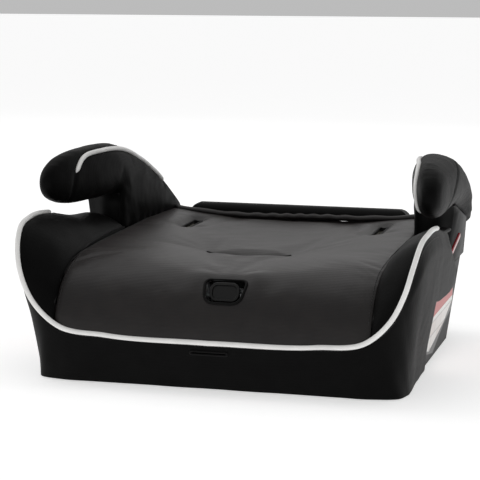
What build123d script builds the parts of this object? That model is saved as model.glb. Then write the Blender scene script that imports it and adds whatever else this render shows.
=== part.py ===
"""Booster seat for a car: a moulded tub with two armrests, a padded fabric cover and a harness adjuster.

Millimetres.  X runs across the seat, +Y to its back, +Z up.  The origin is the middle of the footprint.
The soft pieces are plain closed solids of the right size and place.
"""

import os
from math import atan2, degrees

from build123d import *

os.makedirs("parts", exist_ok=True)

# ---------------------------------------------------------------- driving dimensions
GAP = 0.3  # room between two pieces that only touch
COVER = 4.0  # padded fabric of the wings, the skirt and the armrests
SEAT_FABRIC = 3.0  # thinner fabric over the seat's own foam
FOAM = 18.0  # foam under the seat fabric
WALL = 3.0  # wall of the moulded plastic
FAR = 400.0  # longer than the seat, for cuts that run right through
REACH = 45.0  # through one wall and its padding, but not to the other side
SIDE_FROM = 120.0  # blocks that shape only the right-hand side start here

SEAT_HALF = 165.0  # from the middle to the seam beside the seat
DISH_LOW = 116.0  # height of the seat's middle
DISH_HIGH = 134.0  # height of the seat at its side seams

# The plan outline at four heights: z, corner radius, then the right half's corners (x, y) from the front.
LEAN = (194.0, 216.0, 170.0)  # half width at the floor and at the top of the side walls, and that height
REAR = 208.0
OUTLINES = [
    (0.0, 26.0, [(150, -184), (LEAN[0], -140), (LEAN[0], 150), (165, REAR - 5)]),
    (58.0, 24.0, [(168, -203), (201.5, -152), (201.5, 155), (180, REAR)]),
    (110.0, 13.0, [(196, -206), (208.2, -172), (208.2, 158), (192, REAR)]),
    (LEAN[2], 13.0, [(204, -203), (LEAN[1], -172), (LEAN[1], 160), (200, REAR)]),
]

# The seat's side view (y, z), from the front piping over the crest to the rear edge.
SEAT_SIDE = [(-240, 49), (-205, 50), (-199, 75), (-186, 103), (-160, 121), (-121, 131), (28, 136), (240, 142)]
SEAT_ROUND = [3, 16, 24, 30, 40, 60]
SEAT_REAR = 182.0  # where the seat's foam and fabric end

# The wing's side view (y, z), from the front edge over its top to the belt gap.
WING_SIDE = [(-240, 30), (-208, 70), (-205, 125), (-174, 163), (-100, 161), (-20, 146), (60, 142)]
WING_ROUND = [16, 40, 34, 60, 60]
WING_REAR = 26.0  # the wing's padding stops at the armrest's column
# The wing's inner slope at each y: its height at the seat seam and at the outer edge.
EDGE_X = 210.0
WING_SLOPE = [
    (-218, 40, 92),
    (-206, 66, 124),
    (-197, 88, 140),
    (-179, 110, 157),
    (-146, 125, 163),
    (-92, 134, 161),
    (-42, 136, 151),
    (60, 137, 143),
]

# The armrest, seen from the side (y, z) and from above (x, y).
WING_SHORT = 7.0  # the shell's wings end this far below the fabric's edge
SHOULDER = 96.0  # the armrest shell stands on the tub at this height
COLUMN_FRONT = 28.0
HORN_UNDER = 168.0
HORN_SIDE = [
    (COLUMN_FRONT, SHOULDER),
    (COLUMN_FRONT, HORN_UNDER),
    (-62, 169),
    (-104, 180),
    (-119, 203),
    (-98, 222),
    (-20, 230),
    (48, 228),
    (132, 204),
    (176, 180),
    (204, 136),
    (204, SHOULDER),
]
HORN_ROUND = [10, 40, 14, 16, 24, 90, 70, 60, 34, 34]
# The armrest's plan outline, back along its inner side and forward along its outer side.
ARM_PLAN = [(186, -130), (172, -50), (168, 30), (160, 120), (147, 212),
            (199, 212), (215, 150), (217, 40), (216, -60), (206, -130)]
ARM_PLAN_ROUND = [0, 400, 800, 800, 0, 0, 200, 1500, 400, 0]

# Slots of the harness: centre x and y, size across and along.
HIP_X, HIP_Y = 112.0, 120.0
HIP_SLOT = (10.0, 62.0)
CROTCH_Y = -45.0
CROTCH_SLOT = (86.0, 8.0)
SLOT_CLEAR = 1.0  # foam and shell stand back from a slot's fabric edge
BINDING = 3.0  # width of the bound edge round a slot
BINDING_HIGH = 1.6
EDGE_CLEAR = 0.1  # between a binding and the fabric that it edges
SLIT = (38.0, 4.0)  # bound slit low in the front skirt
SLIT_Z = 41.0

# The adjuster lies in a well in the slope below the seat's crest.
ADJUSTER_X = 11.0  # it sits to the right of the middle
ADJUSTER_Y, ADJUSTER_Z = -187.5, 96.5  # middle of its well, on the fabric
SLOPE = degrees(atan2(28, 13))  # of the seat's front, from its side view
OPENING = (44.0, 27.0)  # opening in the fabric, across and along the slope
OPENING_UP = 6.0  # the opening and the button lie this far up the slope from the middle of the well
OPENING_CORNER = 12.0
CHANNEL = (43.0, 38.0)  # the steel frame, across and along the slope
CHANNEL_TOP, CHANNEL_DEEP = 7.0, 36.0  # depths of its upper edges and of its floor's underside
STEEL = 2.0
WELL_WALL = 2.5
STRAP_WINDOW = (30.0, 12.0)
PIN_R = 3.0
PIN_UP = 6.0  # the pin's place up the slope from the middle
PIN_DEEP = 21.0  # and below the fabric
PIN_CLEAR = 0.1  # between the pin and the cam's bore
HUB_R = 7.0
CAM_HALF = 12.0  # half the cam's width
TOE = (12.0, 32.5)  # the toothed toe's place up the slope, and its depth above the channel's floor
ARM_THICK = 5.0
FRAME_SCREWS = [(-13, -13), (13, -13)]  # across and up the slope
FRAME_BOSS = 8.0
SPRING_R, SPRING_WIRE, SPRING_TURNS = 4.6, 0.6, 4
SPRING_LEG = 9.0
BUTTON = (31.0, 20.0)
BUTTON_CORNER = 8.0
BUTTON_DEEP = 2.5
BUTTON_THICK = 5.0
BUTTON_RIM = 2.6
BUTTON_SCOOP = 2.0  # depth of the scoop inside the button's rim

# The rail across the back that a backrest hooks on.
RAIL_HALF = 135.0
RAIL_Y = (189.0, 208.0)
RAIL_TOP = 142.0
RAIL_ROUND = 7.0
RAIL_END = 14.0  # rounding of its ends, seen from behind
RAIL_LIP = 14.0  # height of the thicker bar along its top
RAIL_STEP = 2.5  # the bar stands this far in front of the web below it
SHELF = 94.0  # the rail stands on the tub at this height
AXLE_R = 5.0
AXLE_Y, AXLE_Z = 198.5, 118.0
AXLE_CLEAR = 0.15  # between the axle and the rail's bore
CAP_R, CAP_THICK = 7.5, 2.5
HOOK_X = 72.0
HOOK_WINDOW = (44.0, 30.0)
HOOK_WINDOW_Z = 112.0
RAIL_SCREWS = [(-115, 195), (-20, 195), (20, 195), (115, 195)]

ARM_SCREWS = [(182, 60), (182, 100), (180, 140)]
RIB_PITCH = 40.0
RIB = 2.0
SCREW_R = 2.0
SCREW_FIT = 0.05  # the thread's clearance in its hole
SCREW_HEAD_R = 4.0
SCREW_HEAD = 2.4
SCREW_BITE = 14.0  # length of thread in the boss
BOSS_R = 5.0
BOSS_HIGH = 18.0

# White piping: points from the middle of the front round the right wing, and the radii between them.
PIPING_R = 2.6
PIPING_CLEAR = 0.3
FRONT_PIPING = [(0, -204.5, 51), (110, -202.5, 53), (160, -203, 60), (184, -205.5, 82), (198, -205, 110),
                (204.5, -198, 135), (208.5, -180, 155), (211, -146, 162.5), (211, -92, 161), (211, -42, 152),
                (211, 20, 147)]
FRONT_PIPING_ROUND = [60, 40, 40, 40, 40, 30, 40, 60, 60]
ARM_PIPING = [(156, 148, 165), (161, 118, 195), (167.5, 50, 221), (171.5, -40, 227), (177.5, -88, 219),
              (181, -104, 206), (183, -109, 190)]
ARM_PIPING_ROUND = [20, 60, 60, 30, 14]

# The fabric's flap on each side wall, and the printed label beside it, as (y, z) corners.
FLAP = [(-FAR, -FAR), (-80, -FAR), (-80, 79), (51, 72), (112, 80), (74, 110), (WING_REAR, 132), (WING_REAR, FAR),
        (-FAR, FAR)]
LABEL = [(-76, 74), (-40, 17), (33, 5), (94, 27), (151, 37), (118, 83), (60, 77)]
LABEL_THICK = 0.2

COVER_LOW = 124.0  # the armrest cover tucks in behind the seat's edge down to here

# The red belt guide: its lower and upper end on the outside of the armrest's column, as (y, z).
GUIDE = [(50, 112), (106, 128)]
GUIDE_WIDE = 7.0
GUIDE_PROUD = 2.5

# ---- worked out from the above
UNDER = COVER + GAP  # the shells lie this far inside the fabric's outside
FOAM_TOP = SEAT_FABRIC + GAP
SHELL_TOP = FOAM_TOP + FOAM + GAP
FLANGE_REAR = SEAT_REAR + COVER  # the seat cover folds down behind the foam
WELL = (CHANNEL[0] + 2 * GAP, CHANNEL[1] + 2 * GAP)
WELL_DEEP = CHANNEL_DEEP + GAP


# ---------------------------------------------------------------- shared shapes
def plan_face(level, inset):
    """The plan outline at one of OUTLINES, moved in by inset."""
    z, corner, right = level
    left = [(-x, y) for x, y in reversed(right)]
    with BuildSketch(Plane.XY.offset(z)) as face:
        with BuildLine():
            Polyline(*right, *left, close=True)
        make_face()
        if inset:
            offset(amount=-inset, kind=Kind.INTERSECTION)
        fillet(face.vertices(), max(corner - inset, 1))
    return face.sketch


def envelope(inset):
    """The whole tub as one closed block, moved in by inset."""
    with BuildPart(mode=Mode.PRIVATE) as block:
        for level in OUTLINES:
            add(plan_face(level, inset))
        loft(ruled=True)
    return block.part


def above(side_view, radii, drop, half_width, start=0.0):
    """Everything above a side view that is lowered by drop, from start to half_width each side."""
    with BuildPart(mode=Mode.PRIVATE) as block:
        with BuildSketch(Plane.YZ.offset(start)) as view:
            with BuildLine():
                path = FilletPolyline(*side_view, radius=radii)
                (y_first, _), (y_last, _) = side_view[0], side_view[-1]
                Polyline(path @ 1, (y_last, FAR), (y_first, FAR), path @ 0)
            make_face()
            if drop:
                offset(amount=drop, kind=Kind.INTERSECTION)
        extrude(amount=half_width - start)
        mirror(about=Plane.YZ)
    return block.part


def dish(drop):
    """What the seat's hollow takes away above the fabric, lowered by drop."""
    with BuildPart(mode=Mode.PRIVATE) as block:
        with BuildSketch(Plane.XZ):
            with BuildLine():
                rim = SEAT_HALF, DISH_HIGH - drop
                bowl = ThreePointArc((-rim[0], rim[1]), (0, DISH_LOW - drop), rim)
                Polyline(bowl @ 1, (rim[0], FAR), (-rim[0], FAR), bowl @ 0)
            make_face()
        extrude(amount=FAR, both=True)
    return block.part


def valley(drop, from_x=SEAT_HALF):
    """Everything above the wings' inner slopes, lowered by drop along the slope's normal."""
    reach = 245.0
    with BuildPart(mode=Mode.PRIVATE) as block:
        for y, seam_z, edge_z in WING_SLOPE:
            rise = (edge_z - seam_z) / (EDGE_X - SEAT_HALF)
            lower = drop * (1 + rise**2) ** 0.5
            start_z = seam_z - lower + rise * (from_x - SEAT_HALF)
            end_z = seam_z - lower + rise * (reach - SEAT_HALF)
            with BuildSketch(Plane.XZ.offset(-y)):
                with BuildLine():
                    Polyline((from_x, start_z), (reach, end_z), (reach, FAR), (from_x, FAR), close=True)
                make_face()
        loft(ruled=True)
        mirror(about=Plane.YZ)
    return block.part


def lean_block(inset):
    """Everything inboard of the right side wall, which leans out to LEAN[2] and is upright above it."""
    low_x, high_x, top = LEAN
    with BuildPart(mode=Mode.PRIVATE) as block:
        with BuildSketch(Plane.XZ):
            with BuildLine():
                Polyline((100, -9), (low_x - 1, -9), (high_x, top), (high_x, FAR), (100, FAR), close=True)
            make_face()
            if inset:
                offset(amount=-inset, kind=Kind.INTERSECTION)
        extrude(amount=FAR, both=True)
    return block.part


def arm_plan(inset, low, high):
    """The right armrest's plan outline as a prism between two heights."""
    with BuildPart(mode=Mode.PRIVATE) as block:
        with BuildSketch(Plane.XY.offset(low)):
            with BuildLine():
                FilletPolyline(*ARM_PLAN, radius=ARM_PLAN_ROUND, close=True)
            make_face()
            if inset:
                offset(amount=-inset, kind=Kind.INTERSECTION)
        extrude(amount=high - low)
    return block.part


def armrest(inset, bottom):
    """The right armrest as one solid block down to bottom, moved in by inset, its upper edges rounded."""
    side_view = [(y, z if z > SHOULDER else SHOULDER - 2 * REACH) for y, z in HORN_SIDE]
    with BuildPart(mode=Mode.PRIVATE) as block:
        with BuildSketch(Plane.YZ.offset(SIDE_FROM)):
            with BuildLine():
                path = FilletPolyline(*side_view, radius=HORN_ROUND)
                Line(path @ 1, path @ 0)
            make_face()
            if inset:
                offset(amount=-inset, kind=Kind.ARC)
        extrude(amount=FAR)
        add(arm_plan(inset, -FAR, FAR), mode=Mode.INTERSECT)
        add(lean_block(inset), mode=Mode.INTERSECT)
        add(box_at((0, FAR), (-FAR, FAR), (bottom, FAR)), mode=Mode.INTERSECT)
    return block.part


def arm_pocket(grow):
    """The room that the right armrest takes from the tub, grown by grow."""
    front, low = COLUMN_FRONT - grow, SHOULDER - grow
    with BuildPart(mode=Mode.PRIVATE) as block:
        add(arm_plan(-grow, low, FAR))
        add(box_at((0, FAR), (front, FAR), (0, 2 * FAR)), mode=Mode.INTERSECT)
        add(box_at((SEAT_HALF - grow, FAR), (front, FAR), (low, FAR)))
    return block.part


def both_sides(part):
    """A right-hand block and its mirror image together."""
    with BuildPart(mode=Mode.PRIVATE) as pair:
        add(part)
        mirror(about=Plane.YZ)
    return pair.part


def box_at(x, y, z):
    """A box from three (low, high) pairs, as a free part."""
    size = [high - low for low, high in (x, y, z)]
    middle = [(high + low) / 2 for low, high in (x, y, z)]
    return Pos(*middle) * Box(*size, mode=Mode.PRIVATE)


def slot_block(across, along, x=0.0, y=0.0, grow=0.0):
    """A slot with round ends, right through from top to bottom, as the solid it takes away."""
    with BuildPart(mode=Mode.PRIVATE) as block:
        with BuildSketch(Plane.XY.offset(-FAR / 2)):
            with Locations((x, y)):
                radius = min(across, along) / 2 + grow - 0.05
                RectangleRounded(across + 2 * grow, along + 2 * grow, radius)
        extrude(amount=FAR)
    return block.part


def harness_slots(grow=0.0):
    """The two hip slots and the crotch slot."""
    with BuildPart(mode=Mode.PRIVATE) as block:
        add(both_sides(slot_block(*HIP_SLOT, HIP_X, HIP_Y, grow)))
        add(slot_block(*CROTCH_SLOT, 0, CROTCH_Y, grow))
    return block.part


def tub(inset, seat_drop, rear_shelf, wall=0.0):
    """The tub as a closed block under the cover.  A second one, smaller by wall, is what hollows it out."""
    with BuildPart(mode=Mode.PRIVATE) as block:
        add(envelope(inset + wall))
        add(above(SEAT_SIDE, SEAT_ROUND, seat_drop + wall, SEAT_HALF + wall), mode=Mode.SUBTRACT)
        add(dish(seat_drop + wall), mode=Mode.SUBTRACT)
        add(above(WING_SIDE, WING_ROUND, inset + WING_SHORT + 3 * wall, FAR, SEAT_HALF), mode=Mode.SUBTRACT)
        add(valley(inset + wall), mode=Mode.SUBTRACT)
        add(both_sides(arm_pocket(GAP + wall)), mode=Mode.SUBTRACT)
        shelf = RAIL_HALF + GAP + wall
        add(box_at((-shelf, shelf), (RAIL_Y[0] - GAP - wall, FAR), (rear_shelf - wall, FAR)), mode=Mode.SUBTRACT)
    return block.part


def seat_block(inset, drop, rear=SEAT_REAR):
    """Everything under the seat surface lowered by drop, between the side seams and up to rear."""
    with BuildPart(mode=Mode.PRIVATE) as block:
        add(envelope(inset))
        half = SEAT_HALF - GAP
        add(box_at((-half, half), (-FAR, rear), (0, FAR)), mode=Mode.INTERSECT)
        add(above(SEAT_SIDE, SEAT_ROUND, drop, FAR), mode=Mode.SUBTRACT)
        add(dish(drop), mode=Mode.SUBTRACT)
        add(both_sides(arm_pocket(GAP)), mode=Mode.SUBTRACT)
    return block.part


def slope_plane(deep=0.0):
    """The plane of the slope at the adjuster: local X across, local Y up the slope, local Z out of the seat."""
    plane = Plane((ADJUSTER_X, ADJUSTER_Y, ADJUSTER_Z), x_dir=(1, 0, 0), z_dir=Plane.XZ.rotated((SLOPE - 90, 0, 0)).z_dir)
    return plane.offset(-deep)


def adjuster_box(across, along, top, bottom, corner=0.0, up=0.0):
    """A box in the adjuster's own frame between two depths.  A negative depth stands above the fabric."""
    with BuildPart(mode=Mode.PRIVATE) as block:
        with BuildSketch(slope_plane(bottom)):
            with Locations((0, up)):
                if corner:
                    RectangleRounded(across, along, corner)
                else:
                    Rectangle(across, along)
        extrude(amount=bottom - top)
    return block.part


def wing_block(inset, drop):
    """Everything under the right wing's inner slope and its side profile, lowered by drop."""
    with BuildPart(mode=Mode.PRIVATE) as block:
        add(envelope(inset))
        add(box_at((SEAT_HALF, FAR), (-FAR, WING_REAR), (0, FAR)), mode=Mode.INTERSECT)
        add(above(WING_SIDE, WING_ROUND, drop, FAR, SEAT_HALF), mode=Mode.SUBTRACT)
        add(valley(drop), mode=Mode.SUBTRACT)
    return block.part


def side_prism(points, radius):
    """A closed outline in the side view, its corners rounded, as a prism through the right-hand side."""
    with BuildPart(mode=Mode.PRIVATE) as block:
        with BuildSketch(Plane.YZ.offset(SEAT_HALF - 40)):
            with BuildLine():
                FilletPolyline(*points, radius=radius, close=True)
            make_face()
        extrude(amount=FAR)
    return block.part


def slit_block(grow):
    """The slit low in the front skirt, with round ends, as the solid it takes away."""
    with BuildPart(mode=Mode.PRIVATE) as block:
        with BuildSketch(Plane.XZ.offset(SEAT_HALF)):
            with Locations((0, SLIT_Z)):
                SlotOverall(SLIT[0] + 2 * grow, SLIT[1] + 2 * grow)
        extrude(amount=FAR)
    return block.part


def tube(points, radii, radius):
    """A round cord along straight runs joined by tangent arcs."""
    with BuildPart(mode=Mode.PRIVATE) as block:
        with BuildLine() as route:
            path = FilletPolyline(*points, radius=radii)
        with BuildSketch(Plane(path @ 0, z_dir=path % 0)):
            Circle(radius)
        sweep(path=route.line)
    return block.part


def front_piping_tube(radius):
    """The piping from one wing round the front to the other."""
    right = FRONT_PIPING[1:]
    left = [(-x, y, z) for x, y, z in reversed(right)]
    radii = FRONT_PIPING_ROUND[::-1] + FRONT_PIPING_ROUND
    return tube(left + right, radii, radius)


def screws(places, head_z, through):
    """Self-tapping screws pointing up, their heads under head_z, through a wall and on into a boss."""
    with BuildPart(mode=Mode.PRIVATE) as block:
        with BuildSketch(Plane.XY.offset(head_z - SCREW_HEAD)):
            with Locations(*places):
                Circle(SCREW_HEAD_R)
        extrude(amount=SCREW_HEAD)
        with BuildSketch(Plane.XY.offset(head_z)):
            with Locations(*places):
                Circle(SCREW_R)
        extrude(amount=through + SCREW_BITE)
        with BuildSketch(Plane.XY.offset(head_z - SCREW_HEAD)):
            with Locations(*places):
                Rectangle(0.8, 5)
                Rectangle(5, 0.8)
        extrude(amount=1.2, mode=Mode.SUBTRACT)
    return block.part


def screw_holes(places, low, high):
    """Straight holes for the screws between two heights."""
    with BuildPart(mode=Mode.PRIVATE) as block:
        with BuildSketch(Plane.XY.offset(low)):
            with Locations(*places):
                Circle(SCREW_R + SCREW_FIT)
        extrude(amount=high - low)
    return block.part


def write(part, name):
    part.label = name
    export_step(part, f"parts/{name}.step")


def write_pair(part, name):
    """Writes a right-hand part and its mirror image."""
    write(part, f"{name}_right")
    write(mirror(part, about=Plane.YZ), f"{name}_left")


# ---------------------------------------------------------------- the adjuster's well and the shells
slots = harness_slots(SLOT_CLEAR)
well_outer = adjuster_box(WELL[0] + 2 * WELL_WALL, WELL[1] + 2 * WELL_WALL, -REACH, WELL_DEEP + WELL_WALL)
well_inner = adjuster_box(*WELL, -REACH, WELL_DEEP)
strap_window = adjuster_box(*STRAP_WINDOW, 0, WELL_DEEP + 2 * WELL_WALL)
under_fabric = seat_block(UNDER, FOAM_TOP)
cavity = tub(UNDER, SHELL_TOP, SHELF, WALL)

with BuildPart() as inside:
    with BuildSketch():
        across = [(k * RIB_PITCH, 0) for k in range(-4, 5)]
        along = [(0, k * RIB_PITCH) for k in range(-4, 5)]
        with Locations(*across):
            Rectangle(RIB, 2 * FAR)
        with Locations(*along):
            Rectangle(2 * FAR, RIB)
    extrude(amount=FAR)
    add(harness_slots(SLOT_CLEAR + RIB))
    add(cavity, mode=Mode.INTERSECT)

with BuildPart() as well:
    add(well_outer)
    with BuildSketch(slope_plane(WELL_DEEP)):
        with Locations(*FRAME_SCREWS):
            Circle(BOSS_R)
    extrude(amount=-WELL_WALL - FRAME_BOSS)
    add(under_fabric, mode=Mode.INTERSECT)

with BuildPart() as base_shell:
    add(tub(UNDER, SHELL_TOP, SHELF))
    add(cavity, mode=Mode.SUBTRACT)
    add(inside.part)
    add(well.part)
    add(well_inner, mode=Mode.SUBTRACT)
    add(strap_window, mode=Mode.SUBTRACT)
    add(slots, mode=Mode.SUBTRACT)
    add(slit_block(0), mode=Mode.SUBTRACT)
    with BuildSketch(slope_plane(CHANNEL_DEEP)):
        with Locations(*FRAME_SCREWS):
            Circle(SCREW_R + SCREW_FIT)
    extrude(amount=-GAP - WELL_WALL - FRAME_BOSS, mode=Mode.SUBTRACT)
    add(both_sides(screw_holes(ARM_SCREWS, SHOULDER - REACH, SHOULDER)), mode=Mode.SUBTRACT)
    add(screw_holes(RAIL_SCREWS, SHELF - REACH, SHELF), mode=Mode.SUBTRACT)
write(base_shell.part, "base_shell")

arm_low = SHOULDER + GAP
with BuildPart() as bosses:
    with BuildSketch(Plane.XY.offset(arm_low)):
        for x, y in ARM_SCREWS:
            with Locations((x, y)):
                Circle(BOSS_R)
                Rectangle(FAR, RIB)
    extrude(amount=BOSS_HIGH)
    add(armrest(UNDER, arm_low), mode=Mode.INTERSECT)

with BuildPart() as armrest_shell:
    add(armrest(UNDER, arm_low))
    add(armrest(UNDER + WALL, arm_low), mode=Mode.SUBTRACT)
    add(bosses.part)
    add(screw_holes(ARM_SCREWS, arm_low, arm_low + BOSS_HIGH), mode=Mode.SUBTRACT)
write_pair(armrest_shell.part, "armrest_shell")

with BuildPart() as armrest_screws:
    add(screws(ARM_SCREWS, SHOULDER - GAP - WALL, WALL + 2 * GAP))
write_pair(armrest_screws.part, "armrest_screws")

(guide_y1, guide_z1), (guide_y2, guide_z2) = GUIDE
guide_turn = degrees(atan2(guide_z2 - guide_z1, guide_y2 - guide_y1))
guide_long = ((guide_z2 - guide_z1) ** 2 + (guide_y2 - guide_y1) ** 2) ** 0.5
with BuildPart() as belt_guide:
    with BuildSketch(Plane.YZ.offset(SEAT_HALF + WALL)):
        with Locations(((guide_y1 + guide_y2) / 2, (guide_z1 + guide_z2) / 2)):
            SlotCenterToCenter(guide_long - GUIDE_WIDE, GUIDE_WIDE, rotation=guide_turn)
    extrude(amount=FAR)
    add(lean_block(UNDER - GUIDE_PROUD), mode=Mode.INTERSECT)
    add(lean_block(UNDER), mode=Mode.SUBTRACT)
    fillet(belt_guide.faces().sort_by(Axis.X)[-1].edges(), GUIDE_PROUD / 2)
write_pair(belt_guide.part, "belt_guide")

with BuildPart() as label:
    add(envelope(UNDER - LABEL_THICK - EDGE_CLEAR / 2))
    add(envelope(UNDER - EDGE_CLEAR / 2), mode=Mode.SUBTRACT)
    add(side_prism(LABEL, 4), mode=Mode.INTERSECT)
write_pair(label.part, "label")

# ---------------------------------------------------------------- the rail across the back
with BuildPart() as rear_rail:
    with BuildSketch(Plane.YZ.offset(-RAIL_HALF)):
        with BuildLine():
            front, rear = RAIL_Y
            web, lip, low = front + RAIL_STEP, RAIL_TOP - RAIL_LIP, SHELF + GAP
            FilletPolyline((web, low), (web, lip), (front, lip + RAIL_STEP), (front, RAIL_TOP), (rear, RAIL_TOP),
                           (rear, low), radius=[0, 1, RAIL_ROUND, RAIL_ROUND])
            Line((rear, low), (web, low))
        make_face()
    extrude(amount=2 * RAIL_HALF)
    with BuildSketch(Plane.XZ):
        with BuildLine():
            FilletPolyline((-RAIL_HALF, low), (-RAIL_HALF, RAIL_TOP), (RAIL_HALF, RAIL_TOP), (RAIL_HALF, low),
                           radius=RAIL_END)
            Line((RAIL_HALF, low), (-RAIL_HALF, low))
        make_face()
    extrude(amount=-FAR, mode=Mode.INTERSECT)
    with BuildSketch(Plane.XZ):
        with Locations((-HOOK_X, HOOK_WINDOW_Z), (HOOK_X, HOOK_WINDOW_Z)):
            RectangleRounded(*HOOK_WINDOW, 4)
    extrude(amount=-FAR, mode=Mode.SUBTRACT)
    with BuildSketch(Plane.YZ.offset(-RAIL_HALF)):
        with Locations((AXLE_Y, AXLE_Z)):
            Circle(AXLE_R + AXLE_CLEAR)
    extrude(amount=2 * RAIL_HALF, mode=Mode.SUBTRACT)
    add(screw_holes(RAIL_SCREWS, SHELF, SHELF + SCREW_BITE + GAP), mode=Mode.SUBTRACT)
write(rear_rail.part, "rear_rail")

with BuildPart() as backrest_axle:
    with BuildSketch(Plane.YZ.offset(-RAIL_HALF)):
        with Locations((AXLE_Y, AXLE_Z)):
            Circle(AXLE_R)
    extrude(amount=2 * RAIL_HALF)
write(backrest_axle.part, "backrest_axle")

with BuildPart() as axle_caps:
    with BuildSketch(Plane.YZ.offset(RAIL_HALF)):
        with Locations((AXLE_Y, AXLE_Z)):
            Circle(CAP_R)
    extrude(amount=CAP_THICK)
    fillet(axle_caps.edges().group_by(Axis.X)[-1], CAP_THICK / 3)
    mirror(about=Plane.YZ)
write(axle_caps.part, "axle_caps")

with BuildPart() as rail_screws:
    add(screws(RAIL_SCREWS, SHELF - WALL, WALL + GAP - EDGE_CLEAR))
write(rail_screws.part, "rail_screws")

# ---------------------------------------------------------------- the harness adjuster
def lever_plane(x=0.0):
    """The adjuster's side view at x: local X goes up the slope and local Y out of the seat."""
    plane = slope_plane()
    return Plane(plane.origin + Vector(x, 0, 0), x_dir=plane.y_dir, z_dir=(1, 0, 0))


with BuildPart() as adjuster_frame:
    with BuildSketch(lever_plane(-CHANNEL[0] / 2)):
        with Locations((0, -(CHANNEL_TOP + CHANNEL_DEEP) / 2)):
            Rectangle(CHANNEL[1], CHANNEL_DEEP - CHANNEL_TOP)
    extrude(amount=CHANNEL[0])
    add(seat_block(UNDER, FOAM_TOP + GAP), mode=Mode.INTERSECT)
    add(adjuster_box(CHANNEL[0] - 2 * STEEL, FAR, -FAR, CHANNEL_DEEP - STEEL), mode=Mode.SUBTRACT)
    add(strap_window, mode=Mode.SUBTRACT)
    with BuildSketch(lever_plane(-CHANNEL[0])):
        with Locations((PIN_UP, -PIN_DEEP)):
            Circle(PIN_R + SCREW_FIT)
    extrude(amount=2 * CHANNEL[0], mode=Mode.SUBTRACT)
    with BuildSketch(slope_plane(CHANNEL_DEEP)):
        with Locations(*FRAME_SCREWS):
            Circle(SCREW_R + SCREW_FIT)
    extrude(amount=STEEL, mode=Mode.SUBTRACT)
write(adjuster_frame.part, "adjuster_frame")

with BuildPart() as adjuster_screws:
    with BuildSketch(slope_plane(CHANNEL_DEEP - STEEL)):
        with Locations(*FRAME_SCREWS):
            Circle(SCREW_HEAD_R)
    extrude(amount=SCREW_HEAD)
    fillet(adjuster_screws.edges().filter_by(GeomType.CIRCLE), SCREW_HEAD / 4)
    with BuildSketch(slope_plane(CHANNEL_DEEP - STEEL)):
        with Locations(*FRAME_SCREWS):
            Circle(SCREW_R)
    extrude(amount=-STEEL - WELL_WALL - FRAME_BOSS)
write(adjuster_screws.part, "adjuster_screws")

with BuildPart() as adjuster_pin:
    with BuildSketch(lever_plane(-CHANNEL[0] / 2)):
        with Locations((PIN_UP, -PIN_DEEP)):
            Circle(PIN_R)
    extrude(amount=CHANNEL[0])
write(adjuster_pin.part, "adjuster_pin")

with BuildPart() as adjuster_cam:
    with BuildSketch(lever_plane(-CAM_HALF)):
        with Locations((PIN_UP, -PIN_DEEP)):
            Circle(HUB_R)
        with BuildLine():
            toe_up, toe_deep = TOE
            Polyline((PIN_UP - HUB_R, -PIN_DEEP), (toe_up - 2, -toe_deep), (toe_up, -toe_deep),
                     (PIN_UP + HUB_R, -PIN_DEEP), close=True)
        make_face()
        with Locations((PIN_UP - HUB_R + ARM_THICK / 2, -(PIN_DEEP + BUTTON_DEEP + BUTTON_THICK) / 2)):
            Rectangle(ARM_THICK, PIN_DEEP - BUTTON_DEEP - BUTTON_THICK)
    extrude(amount=2 * CAM_HALF)
    with BuildSketch(lever_plane(-CAM_HALF)):
        with Locations((PIN_UP, -PIN_DEEP)):
            Circle(PIN_R + PIN_CLEAR)
    extrude(amount=2 * CAM_HALF, mode=Mode.SUBTRACT)
write(adjuster_cam.part, "adjuster_cam")

with BuildPart() as adjuster_button:
    add(adjuster_box(*BUTTON, BUTTON_DEEP, BUTTON_DEEP + BUTTON_THICK, BUTTON_CORNER, OPENING_UP))
    with BuildSketch(slope_plane(BUTTON_DEEP)):
        with Locations((0, OPENING_UP)):
            RectangleRounded(BUTTON[0] - 2 * BUTTON_RIM, BUTTON[1] - 2 * BUTTON_RIM, BUTTON_CORNER - BUTTON_RIM)
    extrude(amount=-BUTTON_SCOOP, taper=20, mode=Mode.SUBTRACT)
    rim = adjuster_button.faces().sort_by(Axis(slope_plane().origin, slope_plane().z_dir))[-1]
    fillet(rim.edges(), BUTTON_RIM / 3)
write(adjuster_button.part, "adjuster_button")

with BuildPart() as adjuster_spring:
    coil_pitch = 2 * SPRING_WIRE * 0.95
    axis = Axis(lever_plane().from_local_coords((PIN_UP, -PIN_DEEP, 0)), (1, 0, 0))
    coil_plane = Plane(axis.position, x_dir=(1, 0, 0), z_dir=lever_plane().x_dir)
    for turn in range(SPRING_TURNS):
        with BuildSketch(coil_plane):
            with Locations((CAM_HALF + 2 * SPRING_WIRE + turn * coil_pitch, SPRING_R)):
                Circle(SPRING_WIRE)
        revolve(axis=axis, revolution_arc=360)
    for x, out in ((CAM_HALF + 2 * SPRING_WIRE, 1), (CAM_HALF + 2 * SPRING_WIRE + coil_pitch, -1)):
        start = lever_plane(x).from_local_coords((PIN_UP - out * SPRING_R, -PIN_DEEP, 0))
        with BuildSketch(Plane(start, x_dir=(1, 0, 0), z_dir=lever_plane().y_dir * out)):
            Circle(SPRING_WIRE)
        extrude(amount=SPRING_LEG)
    mirror(about=Plane.YZ.offset(ADJUSTER_X))
write(adjuster_spring.part, "adjuster_spring")

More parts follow.
